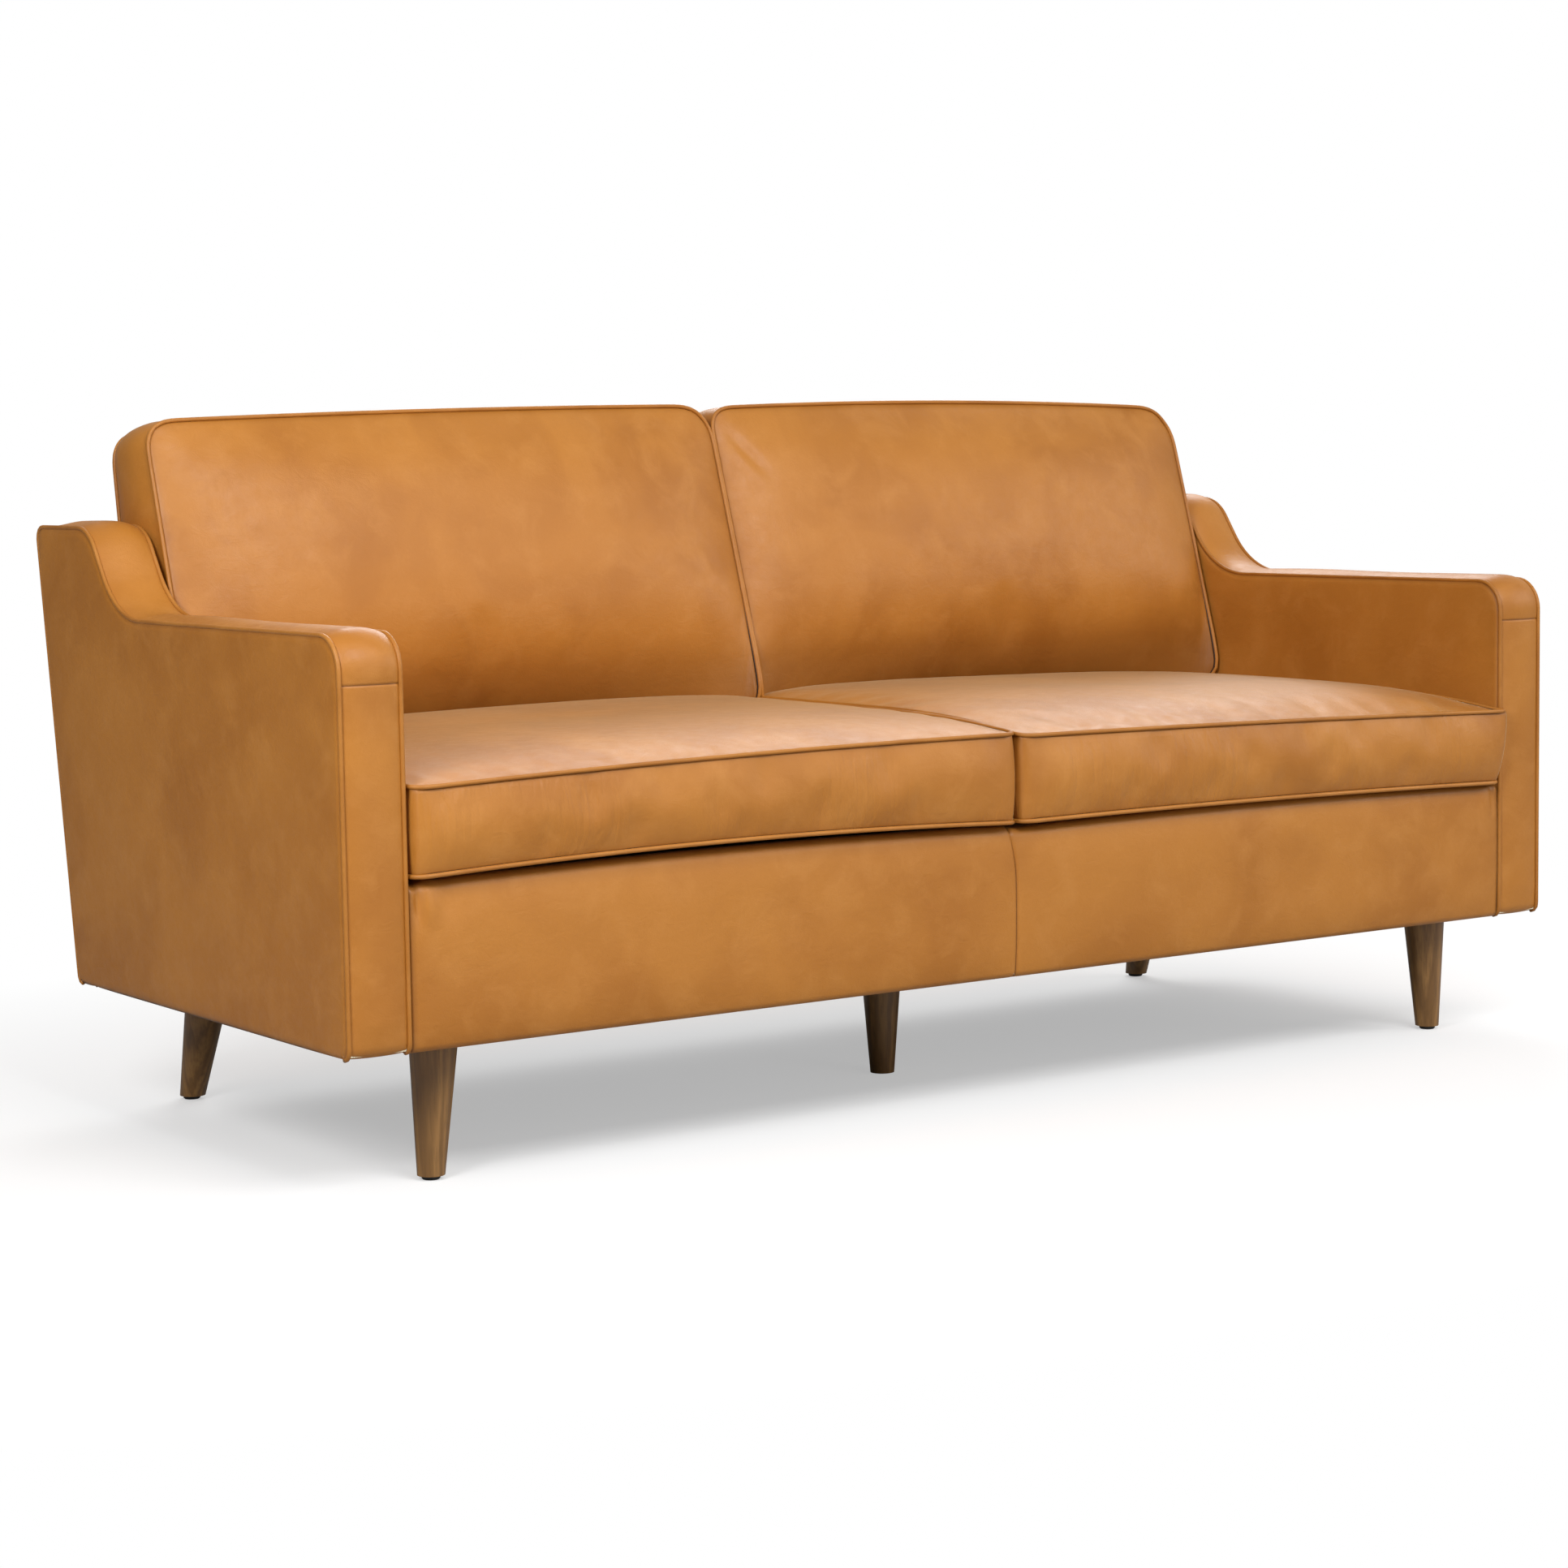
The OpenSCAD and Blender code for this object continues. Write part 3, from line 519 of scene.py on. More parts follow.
def arm_boxing(side):
    """The strip round the arm's edge, crowned between the welts, with a cross seam high on its front."""
    seam_z = ARM_TOP - 0.054
    # The strip's height off its edge path, on its level top and on its front
    crown_top, crown_front = 0.0085, 0.0065
    rear_z = BACK_H - REAR_R
    last = int(np.argmin(np.linalg.norm(EDGE - [rear_y(rear_z), rear_z], axis=1)))
    length = np.concatenate([[0], np.cumsum(np.linalg.norm(np.diff(EDGE[:last + 1], axis=0), axis=1))])
    rising = int(np.argmax(EDGE[:, 1] > ARM_TOP - FRONT_R))
    at_seam = np.interp(seam_z, EDGE[:rising, 1], length[:rising])
    at = np.unique(np.concatenate([length, at_seam + np.linspace(-0.008, 0.008, 17)]))
    path = np.stack([np.interp(at, length, EDGE[:last + 1, k]) for k in (0, 1)], -1)
    normal = np.stack([np.interp(at, length, EDGE_N[:last + 1, k]) for k in (0, 1)], -1)
    half = (SEWN_OUT - SEWN_IN) / 2
    w = graded(22, 0.75)
    front = unit((ARM_TOP - 0.03 - path[:, 1]) / 0.04) * (path[:, 0] < FRONT + 0.1)
    rear = unit((path[:, 0] - (rear_y(BACK_H) - 0.07)) / 0.06)
    tall = np.interp(front, [0, 1], [crown_top, crown_front]) * (1 - 0.75 * rear)
    tall = tall * unit((path[:, 1] - Z0) / 0.05 + 0.25)
    here = np.stack([at, at * 0, at * 0], -1)
    tall = tall * (1 + 0.10 * soft_noise(here * 9, 5))
    gap = at - at_seam
    crown = tall[:, None] * (1 - np.abs(w[None]) ** 2.4)
    from_welt = (1 - np.abs(w)) * half
    dip = 0.0016 * bell(from_welt, 0.0035)
    cross = 0.0013 * bell(gap, 0.0013) + 0.0008 * bell(gap, 0.008)
    lift = crown - dip[None] - cross[:, None] * (1 - np.abs(w[None]) ** 8)
    x = (SEWN_IN + SEWN_OUT) / 2 + w * half
    yz = path[:, None] + normal[:, None] * lift[..., None]
    p = np.concatenate([np.broadcast_to(x[None, :, None], lift.shape + (1,)), yz], -1)
    # Darker along both welts and across the cross seam: dark seam lines, with painted shade of their dips
    seam_and_shade = np.maximum(0.7 * bell(from_welt, 0.0024)[None], 0.85 * bell(gap, 0.0007)[:, None])
    build = Build()
    build.grid(p, seam_and_shade=seam_and_shade, flip=True)
    under = np.array([[[x[0], EDGE[0, 0], Z0], [x[0], EDGE[-1, 0], Z0]],
                      [[x[-1], EDGE[0, 0], Z0], [x[-1], EDGE[-1, 0], Z0]]])
    build.grid(under, flip=True)
    return build.make(f"{side}_arm_edge_strip", [LEATHER], "sofa_frame",
                      [f"{side}_arm_boxing"], thick=SKIN, mirror=side == "left")


def piping(name, paths, creases, body, replaces, closed=False, mirror=False):
    """Round welt cords covered in leather, each with a thin, fully darkened cord in the crease that it sits in, as
    painted shade.
    """
    build = Build()
    for path, crease in zip(paths, creases):
        build.tube(path, PIPE_R, 10, closed)
        # The crease cord is painted at full darkness, a painted shade of the crease beside the welt
        build.tube(crease, PIPE_R * 0.66, 8, closed, seam_and_shade=1.0, material=1)
    return build.make(name, [PIPING, CREASE_SHADE], body, replaces, mirror=mirror, weld=0)


def arm_piping(side):
    """One welt all round the outer side, and one round the inner side as far as the back."""
    paths, creases = [], []
    for x, inwards, last in ((ARM_OUT - PIPE_R, -1, len(EDGE)), (ARM_IN + PIPE_R, 1, REAR_TOP + 1)):
        for lines, depth, into in ((paths, 0.0012, 0.0), (creases, -0.0012, 0.0005)):
            line = EDGE[:last] + EDGE_N[:last] * depth
            lines.append(np.concatenate([np.full((last, 1), x + inwards * into), line], -1))
    return piping(f"{side}_arm_piping", paths, creases, "sofa_frame", [f"{side}_arm_welts"],
                  mirror=side == "left")


for side in ("left", "right"):
    arm_side(side, inner=False)
    arm_side(side, inner=True)
    arm_boxing(side)
    arm_piping(side)


# ------ front rail cover
def front_rail_cover():
    """Two padded panels over the front rail, sewn together in the middle."""
    y0, rear = [corner.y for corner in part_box("front_cover")]
    top, bottom = DECK_Z + 0.002, Z0
    r_top, r_low = 0.0095, 0.007
    # How far the top edge is padded up, less on the right half, where the cushion sits lower
    high_left, high_right = 0.0095, 0.0055
    profile = np.concatenate([
        [[rear, bottom]],
        arc((y0 + r_low, bottom + r_low), r_low, 270, 180, 7),
        resample([[y0, bottom + r_low], [y0, top - r_top]], 0, 22)[1:-1],
        arc((y0 + r_top, top - r_top), r_top, 180, 90, 8),
        resample([[y0 + r_top, top], [y0 + 0.032, top], [y0 + 0.062, DECK_Z]], 0, 7)[1:],
    ])
    out = edge_normals(profile)
    face = unit(1 - ((profile[:, 1] - (top + bottom) / 2) / ((top - bottom) / 2)) ** 4)
    face = face * (profile[:, 0] < y0 + r_top)
    build = Build()
    half = ARM_IN - 0.0005
    across = np.unique(np.concatenate([half * (graded(110, 0.0) + 1) / 2, np.linspace(0, 0.012, 7),
                                       half - np.linspace(0, 0.02, 6)]))
    # The middle seam leans over to one side near its top
    bend = -0.008 * unit((profile[:, 1] - 0.285) / 0.06) ** 2
    # Puckers below the top edge beside both arms: how far from the middle, how high, how wide
    puckers = [(-half + 0.012, -0.0050, 0.006), (-half + 0.025, 0.0042, 0.008),
               (-half + 0.050, -0.0022, 0.012), (half - 0.012, -0.0030, 0.006),
               (half - 0.026, 0.0024, 0.009)]
    for sign in (-1, 1):
        x = across * sign
        p = np.concatenate([np.broadcast_to(x[:, None, None], (len(x), len(profile), 1)),
                            np.broadcast_to(profile[None], (len(x),) + profile.shape)], -1)
        p[..., 0] += bend[None] * np.exp(-across / 0.08)[:, None]
        from_seam, from_arm = across, half - across
        swell = 0.0065 * (1 - 0.45 * np.exp(-from_seam / 0.06))
        swell = swell * rising(from_arm + 0.002, 0.012)
        lift = swell[:, None] * face[None]
        lift = lift - 0.0028 * bell(from_seam, 0.0026)[:, None] * (face[None] > 0)
        lift = lift + 0.0009 * soft_noise(p * (6, 6, 9), 21) * face[None]
        for at, amount, wide in puckers:
            away = (p - np.array((at, y0, top - 0.020))) / np.array((wide, 1, 0.020))
            lift = lift + amount * np.exp(-np.sum(away ** 2, -1))
        p[..., 1:] += out[None] * lift[..., None]
        arch = unit(np.sin(math.pi * across / half)) ** 0.8
        high = high_right
        if sign < 0:
            high = high_left
            arch = (0.35 + 0.65 * arch) * rising(from_arm + 0.003, 0.018)
        upper = unit((profile[:, 1] - top + 0.05) / 0.05) ** 2
        upper = upper * unit(1 - (profile[:, 0] - y0 - 0.022) / 0.035)
        p[..., 2] += high * arch[:, None] * upper[None]
        # Darker at the middle seam and beside the arms: dark seam lines, with painted shade in the dip and the gap
        # there
        seam_and_shade = 0.9 * bell(from_seam, 0.0013)[:, None] + np.zeros_like(lift)
        seam_and_shade = np.maximum(seam_and_shade, 0.6 * bell(from_arm, 0.004)[:, None])
        # Painted shadow: the top 20 mm of each panel darkens towards its top edge, under the seat cushions'
        # overhang
        seam_and_shade = np.maximum(seam_and_shade, 0.34 * unit((profile[:, 1] - top + 0.020) / 0.020)[None] ** 1.6)
        build.grid(p, seam_and_shade=seam_and_shade, flip=sign > 0)
    return build.make("front_rail_panels", [LEATHER], "sofa_frame", ["front_cover"],
                      thick=SKIN)


front_rail_cover()


# ------ back covers
def back_covers():
    """The outside back panel, and the inside back with its roll over the top."""
    half = ARM_OUT - 0.0035
    xs = half * graded(150, 0.35)
    top_s = (BACK_H - REAR_R - Z0) / math.cos(LEAN)
    s = top_s * (graded(56, 0.6) + 1) / 2
    d = np.minimum(np.minimum((half - np.abs(xs))[:, None], s[None]), (top_s - s)[None])
    lift = 0.0035 * rising(d, 0.04) - 0.0012 * bell(d, 0.004)
    p = on_back(xs[:, None], 0.0, s[None])
    lift = lift + 0.0008 * soft_noise(p * 6, 31) * rising(d, 0.05)
    build = Build()
    # Darker along the edges: dark seam lines, with painted shade of the dip beside them
    build.grid(on_back(xs[:, None], -lift, s[None]), seam_and_shade=0.8 * bell(d, 0.0024), flip=True)
    build.make("outside_back_panel", [LEATHER], "sofa_frame", ["outside_back_cover"],
               thick=SKIN)

    # The inside back stands thick in front of the rear plane, and rolls over the top with radius roll_r
    thick, roll_r = 0.060, 0.022
    lean = math.degrees(LEAN)
    roll_z, rear_z = BACK_H - roll_r, BACK_H - REAR_R
    roll_c = (rear_y(roll_z) - (thick - roll_r) / math.cos(LEAN), roll_z)
    rear_c = (rear_y(rear_z) - REAR_R / math.cos(LEAN), rear_z)
    face = [[rear_y(z) - thick / math.cos(LEAN), z] for z in (DECK_Z, roll_z)]
    profile = np.concatenate([resample(face, 0.014)[:-1], arc(roll_c, roll_r, 180 - lean, 90, 9),
                              arc(rear_c, REAR_R, 90, -lean, 8)])
    out = edge_normals(profile)
    wide = ARM_IN
    xs = wide * graded(120, 0.3)
    p = np.concatenate([np.broadcast_to(xs[:, None, None], (len(xs), len(profile), 1)),
                        np.broadcast_to(profile[None], (len(xs),) + profile.shape)], -1)
    puff = unit((profile[:, 1] - 0.6) / 0.1) * 0.003
    puff = puff * np.clip(1.6 - (profile[:, 0] - roll_c[0]) / 0.02, 0.1, 1)
    from_end = wide - np.abs(xs)
    ends = rising(from_end, 0.02)
    lift = puff[None] * ends[:, None] + 0.0007 * soft_noise(p * 8, 33) * (puff[None] > 0) * ends[:, None]
    p[..., 1:] += out[None] * lift[..., None]
    build = Build()
    # Darker at both ends, where the panel meets the arms: dark seam lines, with painted shade in the joins
    build.grid(p, seam_and_shade=0.6 * bell(from_end, 0.003)[:, None], flip=True)
    build.make("inside_back_panel", [LEATHER], "sofa_frame", ["inside_back_cover"],
               thick=SKIN)


back_covers()


# ------ cushions
# Grid values beyond this, in -1 to 1, lie on a cushion's outermost ring of points
RIM = 0.999


def rounded(u, v, half_u, half_v, radii):
    """A square grid's points moved into a rounded rectangle, with the outward direction at its edge.
    radii holds the corner radius at low v, then at high v for low u and for high u."""
    low, high_in, high_out = radii
    r = np.where(v > 0, np.where(u > 0, high_out, high_in), low)
    p = np.stack([u * half_u, v * half_v], -1)
    inner = np.stack([half_u - r, half_v - r], -1)
    q = (np.abs(p) - inner) / r[..., None]
    corner = (q > 0).all(-1)
    size = np.linalg.norm(np.where(corner[..., None], q, 1), axis=-1)
    scale = np.where(corner, q.max(-1) / np.maximum(size, 1e-9), 1)
    bent = inner + r[..., None] * q * scale[..., None]
    placed = np.where(corner[..., None], np.sign(p) * bent, p)
    out = np.stack([np.sign(u) * (np.abs(u) > RIM), np.sign(v) * (np.abs(v) > RIM)], -1)
    out = np.where(corner[..., None], np.sign(p) * q, out)
    out /= np.maximum(np.linalg.norm(out, axis=-1), 1e-9)[..., None]
    return placed, out


def through(far, inner, middle, outer):
    """A smooth value along a cushion, from its inner end through its middle to its outer end."""
    return inner * (1 - far) * (1 - 2 * far) + middle * 4 * far * (1 - far) + outer * far * (2 * far - 1)


class Lattice:
    """The surface of a box of nu by nv by nw cells: its points' grid places and its faces."""

    def __init__(self, nu, nv, nw):
        self.n = (nu, nv, nw)
        self.index, keys = {}, []
        for i in range(nu + 1):
            for j in range(nv + 1):
                for k in range(nw + 1):
                    if i in (0, nu) or j in (0, nv) or k in (0, nw):
                        self.index[(i, j, k)] = len(keys)
                        keys.append((i, j, k))
        self.keys = np.array(keys)
        self.faces = []
        for k, turn in ((0, False), (nw, True)):
            self._side(lambda a, b, k=k: (a, b, k), nu, nv, turn)
        for j, turn in ((0, True), (nv, False)):
            self._side(lambda a, b, j=j: (a, j, b), nu, nw, turn)
        for i, turn in ((0, False), (nu, True)):
            self._side(lambda a, b, i=i: (i, a, b), nv, nw, turn)

    def _side(self, at, na, nb, turn):
        """The faces of one side, whose cell a, b has its grid place given by at."""
        for a in range(na):
            for b in range(nb):
                f = [self.index[at(*c)] for c in ((a, b), (a, b + 1), (a + 1, b + 1), (a + 1, b))]
                self.faces.append(tuple(f[::-1] if turn else f))

    def loop(self, k):
        """Indices of the points round the edge of layer k, in order."""
        nu, nv, _ = self.n
        ring = [(i, 0) for i in range(nu)] + [(nu, j) for j in range(nv)]
        ring += [(i, nv) for i in range(nu, 0, -1)] + [(0, j) for j in range(nv, 0, -1)]
        return [self.index[(i, j, k)] for i, j in ring]


# How far the cushions' inner ends stand from the sofa's middle plane
SEAT_INNER = 0.0048
BACK_INNER = 0.0028
# Heights of the seat cushions' welts at the inner end, the middle and the outer end
SEAT_TOP = {"left": (0.474, 0.4735, 0.4635), "right": (0.471, 0.465, 0.4545)}
SEAT_BOTTOM = {"left": (0.363, 0.3735, 0.364), "right": (0.363, 0.3630, 0.3555)}
# How far the top rises behind its front edge, over what depth, and how far its middle stands up
SEAT_RISE = {"left": 0.015, "right": 0.020}
SEAT_RISE_OVER = 0.28
SEAT_CROWN = {"left": 0.006, "right": 0.012}
# How far a seat cushion is pressed down under the back cushion, from where on, and over what depth
SEAT_PRESSED = 0.014
PRESSED_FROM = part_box("right_back_cover")[0].y + 0.030
PRESSED_OVER = 0.045
# How far the right seat cushion's front corner spreads over its arm, and how far it stands out there
LIP_OUT, LIP_PROUD = 0.018, 0.005


def seat_cushion(side):
    """A boxed seat cushion, crowned on top, with welts round its upper and lower edges."""
    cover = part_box("right_seat_cover")
    x0, x1 = SEAT_INNER, cover[1].x
    y0, y1 = FRONT - 0.010, cover[1].y
    # Its underside clears the padded edge of the front rail
    z_low = cover[0].z + 0.012
    lat = Lattice(96, 80, 12)
    u, v, w = (lat.keys / np.array(lat.n) * 2 - 1).T
    plan, out = rounded(u, v, (x1 - x0) / 2, (y1 - y0) / 2, (0.011, 0.016, 0.016))
    x = (x0 + x1) / 2 + plan[:, 0]
    y = (y0 + y1) / 2 + plan[:, 1]
    far = unit((x - x0) / (x1 - x0))
    ahead = unit((y1 - y) / (y1 - y0))
    h = (w + 1) / 2
    deep = unit((y - y0) / SEAT_RISE_OVER)
    z_top = through(far, *SEAT_TOP[side]) + SEAT_RISE[side] * (1 - (1 - deep) ** 2.2)
    under_back = unit((y - PRESSED_FROM) / PRESSED_OVER)
    z_top = z_top - SEAT_PRESSED * under_back ** 2 * (3 - 2 * under_back)
    z_bottom = z_low + 0.002 + (through(far, *SEAT_BOTTOM[side]) - z_low - 0.002) * ahead ** 8
    wall = np.maximum(np.abs(u), np.abs(v)) > RIM
    z = z_bottom * (1 - h) + z_top * h
    # Its sides bulge between the welts, the front most of all
    front = (out[:, 1] < -0.3) & wall
    into = unit(np.minimum(x1 - x, x - x0) / 0.05)
    bulge = np.where(front, 0.003 + 0.0065 * into, np.where(u < 0, 0.004, 0.002))
    bulge = bulge * (1 - w ** 2) * (v < RIM)
    x = x + out[:, 0] * bulge * wall
    y = y + out[:, 1] * bulge * wall
    crown = unit((1 - np.abs(u) ** 3.4) * (1 - np.abs(v) ** 3.4)) ** 0.8
    z = np.where(w > RIM, z + SEAT_CROWN[side] * crown, z)
    z = np.where((w < -RIM) & ~wall, np.maximum(z_low, z - 0.004), z)
    # The right cushion's front corner spreads over the front of its arm
    if side == "right":
        proud = unit((FRONT - 0.001 - y) / 0.005) * unit(1 - (x1 - x) / 0.16) ** 2
        x = x + LIP_OUT * proud * h ** 0.7
        y = y - LIP_PROUD * proud * h
    return lat, np.stack([x, y, z], -1)


def pad_object(name, lat, p, material, body, replaces, mirror):
    """The cushion's mesh, filled by the cloth simulation, and the lines of its two sewn edges."""
    seat = "seat" in name
    if mirror:
        p = p * (-1, 1, 1)
    mesh = bpy.data.meshes.new(name)
    mesh.from_pydata(p.tolist(), [], [f[::-1] for f in lat.faces] if mirror else lat.faces)
    obj = new_object(name, mesh)
    loops = [lat.loop(0), lat.loop(lat.n[2])]
    i, j, k = lat.keys.T
    hidden = (j == lat.n[1]) | (i == 0) | (i == lat.n[0]) if seat else j == 0
    hidden = hidden | (k == 0)
    swell(obj, loops, hidden, slack=0.004 if seat else 0.003, reach=0.008 if seat else 0.006)
    mesh.materials.append(material)
    co = np.array([v.co for v in mesh.vertices])
    rings = [co[loop] for loop in loops]
    near = np.minimum.reduce([loop_distance(co, r) for r in rings])
    # Painted shade beside both sewn edges, where the cover dips to its welts
    shade = 0.22 * bell(near, 0.007)
    if not seat:
        # Painted shadow: a back cushion's face darkens towards its lower edge, where it rolls under above the seat
        up = lat.keys[:, 1] / lat.n[1]
        tucked = unit(1 - (up - 0.07) / 0.16) ** 1.5 * (lat.keys[:, 2] == lat.n[2])
        shade = np.maximum(shade, 0.42 * tucked)
    write_seam_and_shade(mesh, shade)
    crease_loops(obj, loops)
    sub = obj.modifiers.new("smooth", "SUBSURF")
    sub.levels = sub.render_levels = 1
    mesh.polygons.foreach_set("use_smooth", [True] * len(mesh.polygons))
    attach(obj, body)
    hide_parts(*replaces)
    return obj, rings


def foam_core(name, cover, body, replaces):
    """The foam inside a cover: the cover's own form, drawn in by its thickness and the wrap."""
    inset = 0.006
    mesh = cover.data.copy()
    mesh.name = name
    normals = np.array([v.normal for v in mesh.vertices])
    co = np.array([v.co for v in mesh.vertices]) - normals * inset
    mesh.vertices.foreach_set("co", co.ravel())
    mesh.materials.clear()
    mesh.materials.append(FOAM)
    core = new_object(name, mesh)
    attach(core, body)
    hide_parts(*replaces)
    return core


def loop_distance(points, ring):
    """Each point's distance to the nearest point of a ring."""
    best = np.full(len(points), 1e9)
    for q in ring:
        best = np.minimum(best, ((points - q) ** 2).sum(-1))
    return np.sqrt(best)


def crease_loops(obj, loops):
    """Keeps the sewn edges sharp under subdivision."""
    sharp = {frozenset((a, b)) for loop in loops for a, b in zip(loop, loop[1:] + loop[:1])}
    crease = obj.data.attributes.new("crease_edge", "FLOAT", "EDGE")
    crease.data.foreach_set(
        "value", [0.9 if frozenset(e.vertices) in sharp else 0.0 for e in obj.data.edges])


def swell(obj, loops, hidden, slack, reach):
    """Fills a cover: its sewn edges and hidden sides hold while pressure pushes out the leather, which
    is slack by a share of its size. reach is the furthest that it may move."""
    pressure, frames = 4.0, 20
    start = np.array([v.co for v in obj.data.vertices])
    held = sorted(set(loops[0]) | set(loops[1]) | set(np.nonzero(hidden)[0].tolist()))
    obj.vertex_groups.new(name="sewn").add([int(i) for i in held], 1.0, "REPLACE")
    cloth = obj.modifiers.new("fill", "CLOTH")
    s = cloth.settings
    s.quality = 5
    s.mass = 0.5
    s.tension_stiffness = s.compression_stiffness = 18
    s.shear_stiffness = 12
    s.bending_stiffness = 22
    s.use_pressure = True
    s.uniform_pressure_force = pressure
    s.effector_weights.gravity = 0
    s.vertex_group_mass = "sewn"
    s.shrink_min = -slack
    scene = bpy.context.scene
    for frame_number in range(1, frames + 1):
        scene.frame_set(frame_number)
    depsgraph = bpy.context.evaluated_depsgraph_get()
    done = np.array([v.co for v in obj.evaluated_get(depsgraph).data.vertices])
    scene.frame_set(1)
    obj.modifiers.remove(cloth)
    move = done - start
    size = np.linalg.norm(move, axis=1, keepdims=True)
    move = move * np.where(size > 1e-9, reach * np.tanh(size / reach) / np.maximum(size, 1e-9), 0)
    obj.data.vertices.foreach_set("co", (start + move).ravel())
    obj.data.update()
    print("swell", obj.name, "moved at most", round(float(size.max()) * 1000, 1), "mm")


def smooth_ring(path):
    """A closed path evened out, with its points about 5 mm apart."""
    for _ in range(2):
        path = 0.25 * np.roll(path, 1, 0) + 0.5 * path + 0.25 * np.roll(path, -1, 0)
    return resample(np.concatenate([path, path[:1]]), 0.005)[:-1]


def welt_pair(name, rings, leans, body, replaces):
    """Welts along both sewn edges. Each lean points along the cushion's thickness, out of its face."""
    paths, creases = [], []
    for ring, lean in zip(rings, leans):
        tangent = np.roll(ring, -1, 0) - np.roll(ring, 1, 0)
        side = np.cross(tangent, lean)
        side /= np.linalg.norm(side, axis=1)[:, None]
        side *= np.sign((side * (ring - ring.mean(0))).sum(-1))[:, None]
        # The cord stands just outside the sewn edge, and its crease just inside
        paths.append(smooth_ring(ring + side * 0.0016 + lean * 0.0006))
        creases.append(smooth_ring(ring - side * 0.0002 - lean * 0.0010))
    return piping(name, paths, creases, body, replaces, closed=True)


# The back cushions' top welts, up the leaning back, at the inner end, the middle and the outer end
BACK_TOP = {"left": (0.716, 0.712, 0.700), "right": (0.713, 0.720, 0.709)}
# Corner radii of the back cushions: the lower ones, the upper inner one and the upper outer one
BACK_CORNERS = {"left": (0.008, 0.046, 0.034), "right": (0.008, 0.030, 0.055)}
# Where the back cushions begin, up the leaning back and in front of the rear plane
BACK_BOTTOM = 0.308
REAR_T = 0.062
# Thickness of a back cushion at its lower and upper edge, at the inner and at the outer end
THICK_INNER = (0.172, 0.104)
THICK_OUTER = (0.160, 0.101)
# How far its face is drawn in at the lower edge, and how far the face stands out where it is fullest
BACK_TUCK = 0.072
BACK_CROWN = 0.037
ZIP_PITCH = 0.003
# Where the zips run: a height on the seat cushions' rear side, a depth on the back cushions' lower side
ZIP_Z = 0.411
ZIP_T = 0.145


def back_crown(u, rise):
    """How far a back cushion's face stands out, from 0 at its edges to 1, fullest below its middle."""
    full = 0.56
    below = 1 - unit((full - rise) / full) ** 2.2
    above = 1 - unit((rise - full) / (1 - full)) ** 2.8
    return unit((1 - np.abs(u) ** 3.4) * below * above) ** 0.75


def back_cushion(side):
    """A boxed back cushion on the leaning back, thick below and thin above, its front face crowned."""
    x0, x1 = BACK_INNER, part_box("right_back_cover")[1].x
    lat = Lattice(96, 46, 12)
    u, v, w = (lat.keys / np.array(lat.n) * 2 - 1).T
    tall = 0.400
    plan, out = rounded(u, v, (x1 - x0) / 2, tall / 2, BACK_CORNERS[side])
    x = (x0 + x1) / 2 + plan[:, 0]
    far = unit((x - x0) / (x1 - x0))
    rise = unit(plan[:, 1] / tall + 0.5)
    s = BACK_BOTTOM + rise * (through(far, *BACK_TOP[side]) - BACK_BOTTOM)
    inner, outer = [low + (high - low) * rise for low, high in (THICK_INNER, THICK_OUTER)]
    thick = (1 - far) * inner + far * outer
    tucked = unit(1 - rise / 0.36) ** 1.8 * np.sin(math.pi * far) ** 0.35
    thick = thick - BACK_TUCK * tucked
    h = (w + 1) / 2
    wall = np.maximum(np.abs(u), np.abs(v)) > RIM
    t = REAR_T + thick * h
    round_w = 1 - np.abs(w) ** 2.5
    above_arm = unit((s - 0.50) / 0.08)
    sideways = np.where(u > 0, 0.002 + 0.010 * above_arm, 0.001)
    x = x + out[:, 0] * sideways * round_w * wall
    s = s + out[:, 1] * 0.006 * round_w * wall * (v > -RIM)
    # The lower side hangs down in front of the zip, which stays on a flat band
    past_zip = unit((t - ZIP_T - 0.008) / (REAR_T + thick - ZIP_T - 0.008))
    hang = (0.016 + 0.010 * np.abs(2 * far - 1) ** 3) * past_zip ** 1.5
    s = s - hang * unit(1 - rise / 0.1) * (t > ZIP_T + 0.008)
    t = np.where(w > RIM, t + BACK_CROWN * back_crown(u, rise), t)
    p = on_back(x, t, s)
    if side == "right":
        p[:, 1] += 0.0035 * corner_folds(p, x0) * (w > RIM)
    return lat, p


def corner_folds(p, x0):
    """Three short slanting folds, one below the other, near a back cushion's upper inner corner."""
    across, along = np.array((0.80, 0.0, 0.60)), np.array((-0.60, 0.0, 0.80))
    folds = 0.0
    for k in range(3):
        at = on_back(x0 + 0.030 + 0.012 * k, 0.20, 0.660 - 0.016 * k)
        folds = folds + np.exp(-((p - at) @ across / 0.005) ** 2 - ((p - at) @ along / 0.022) ** 2)
    return folds


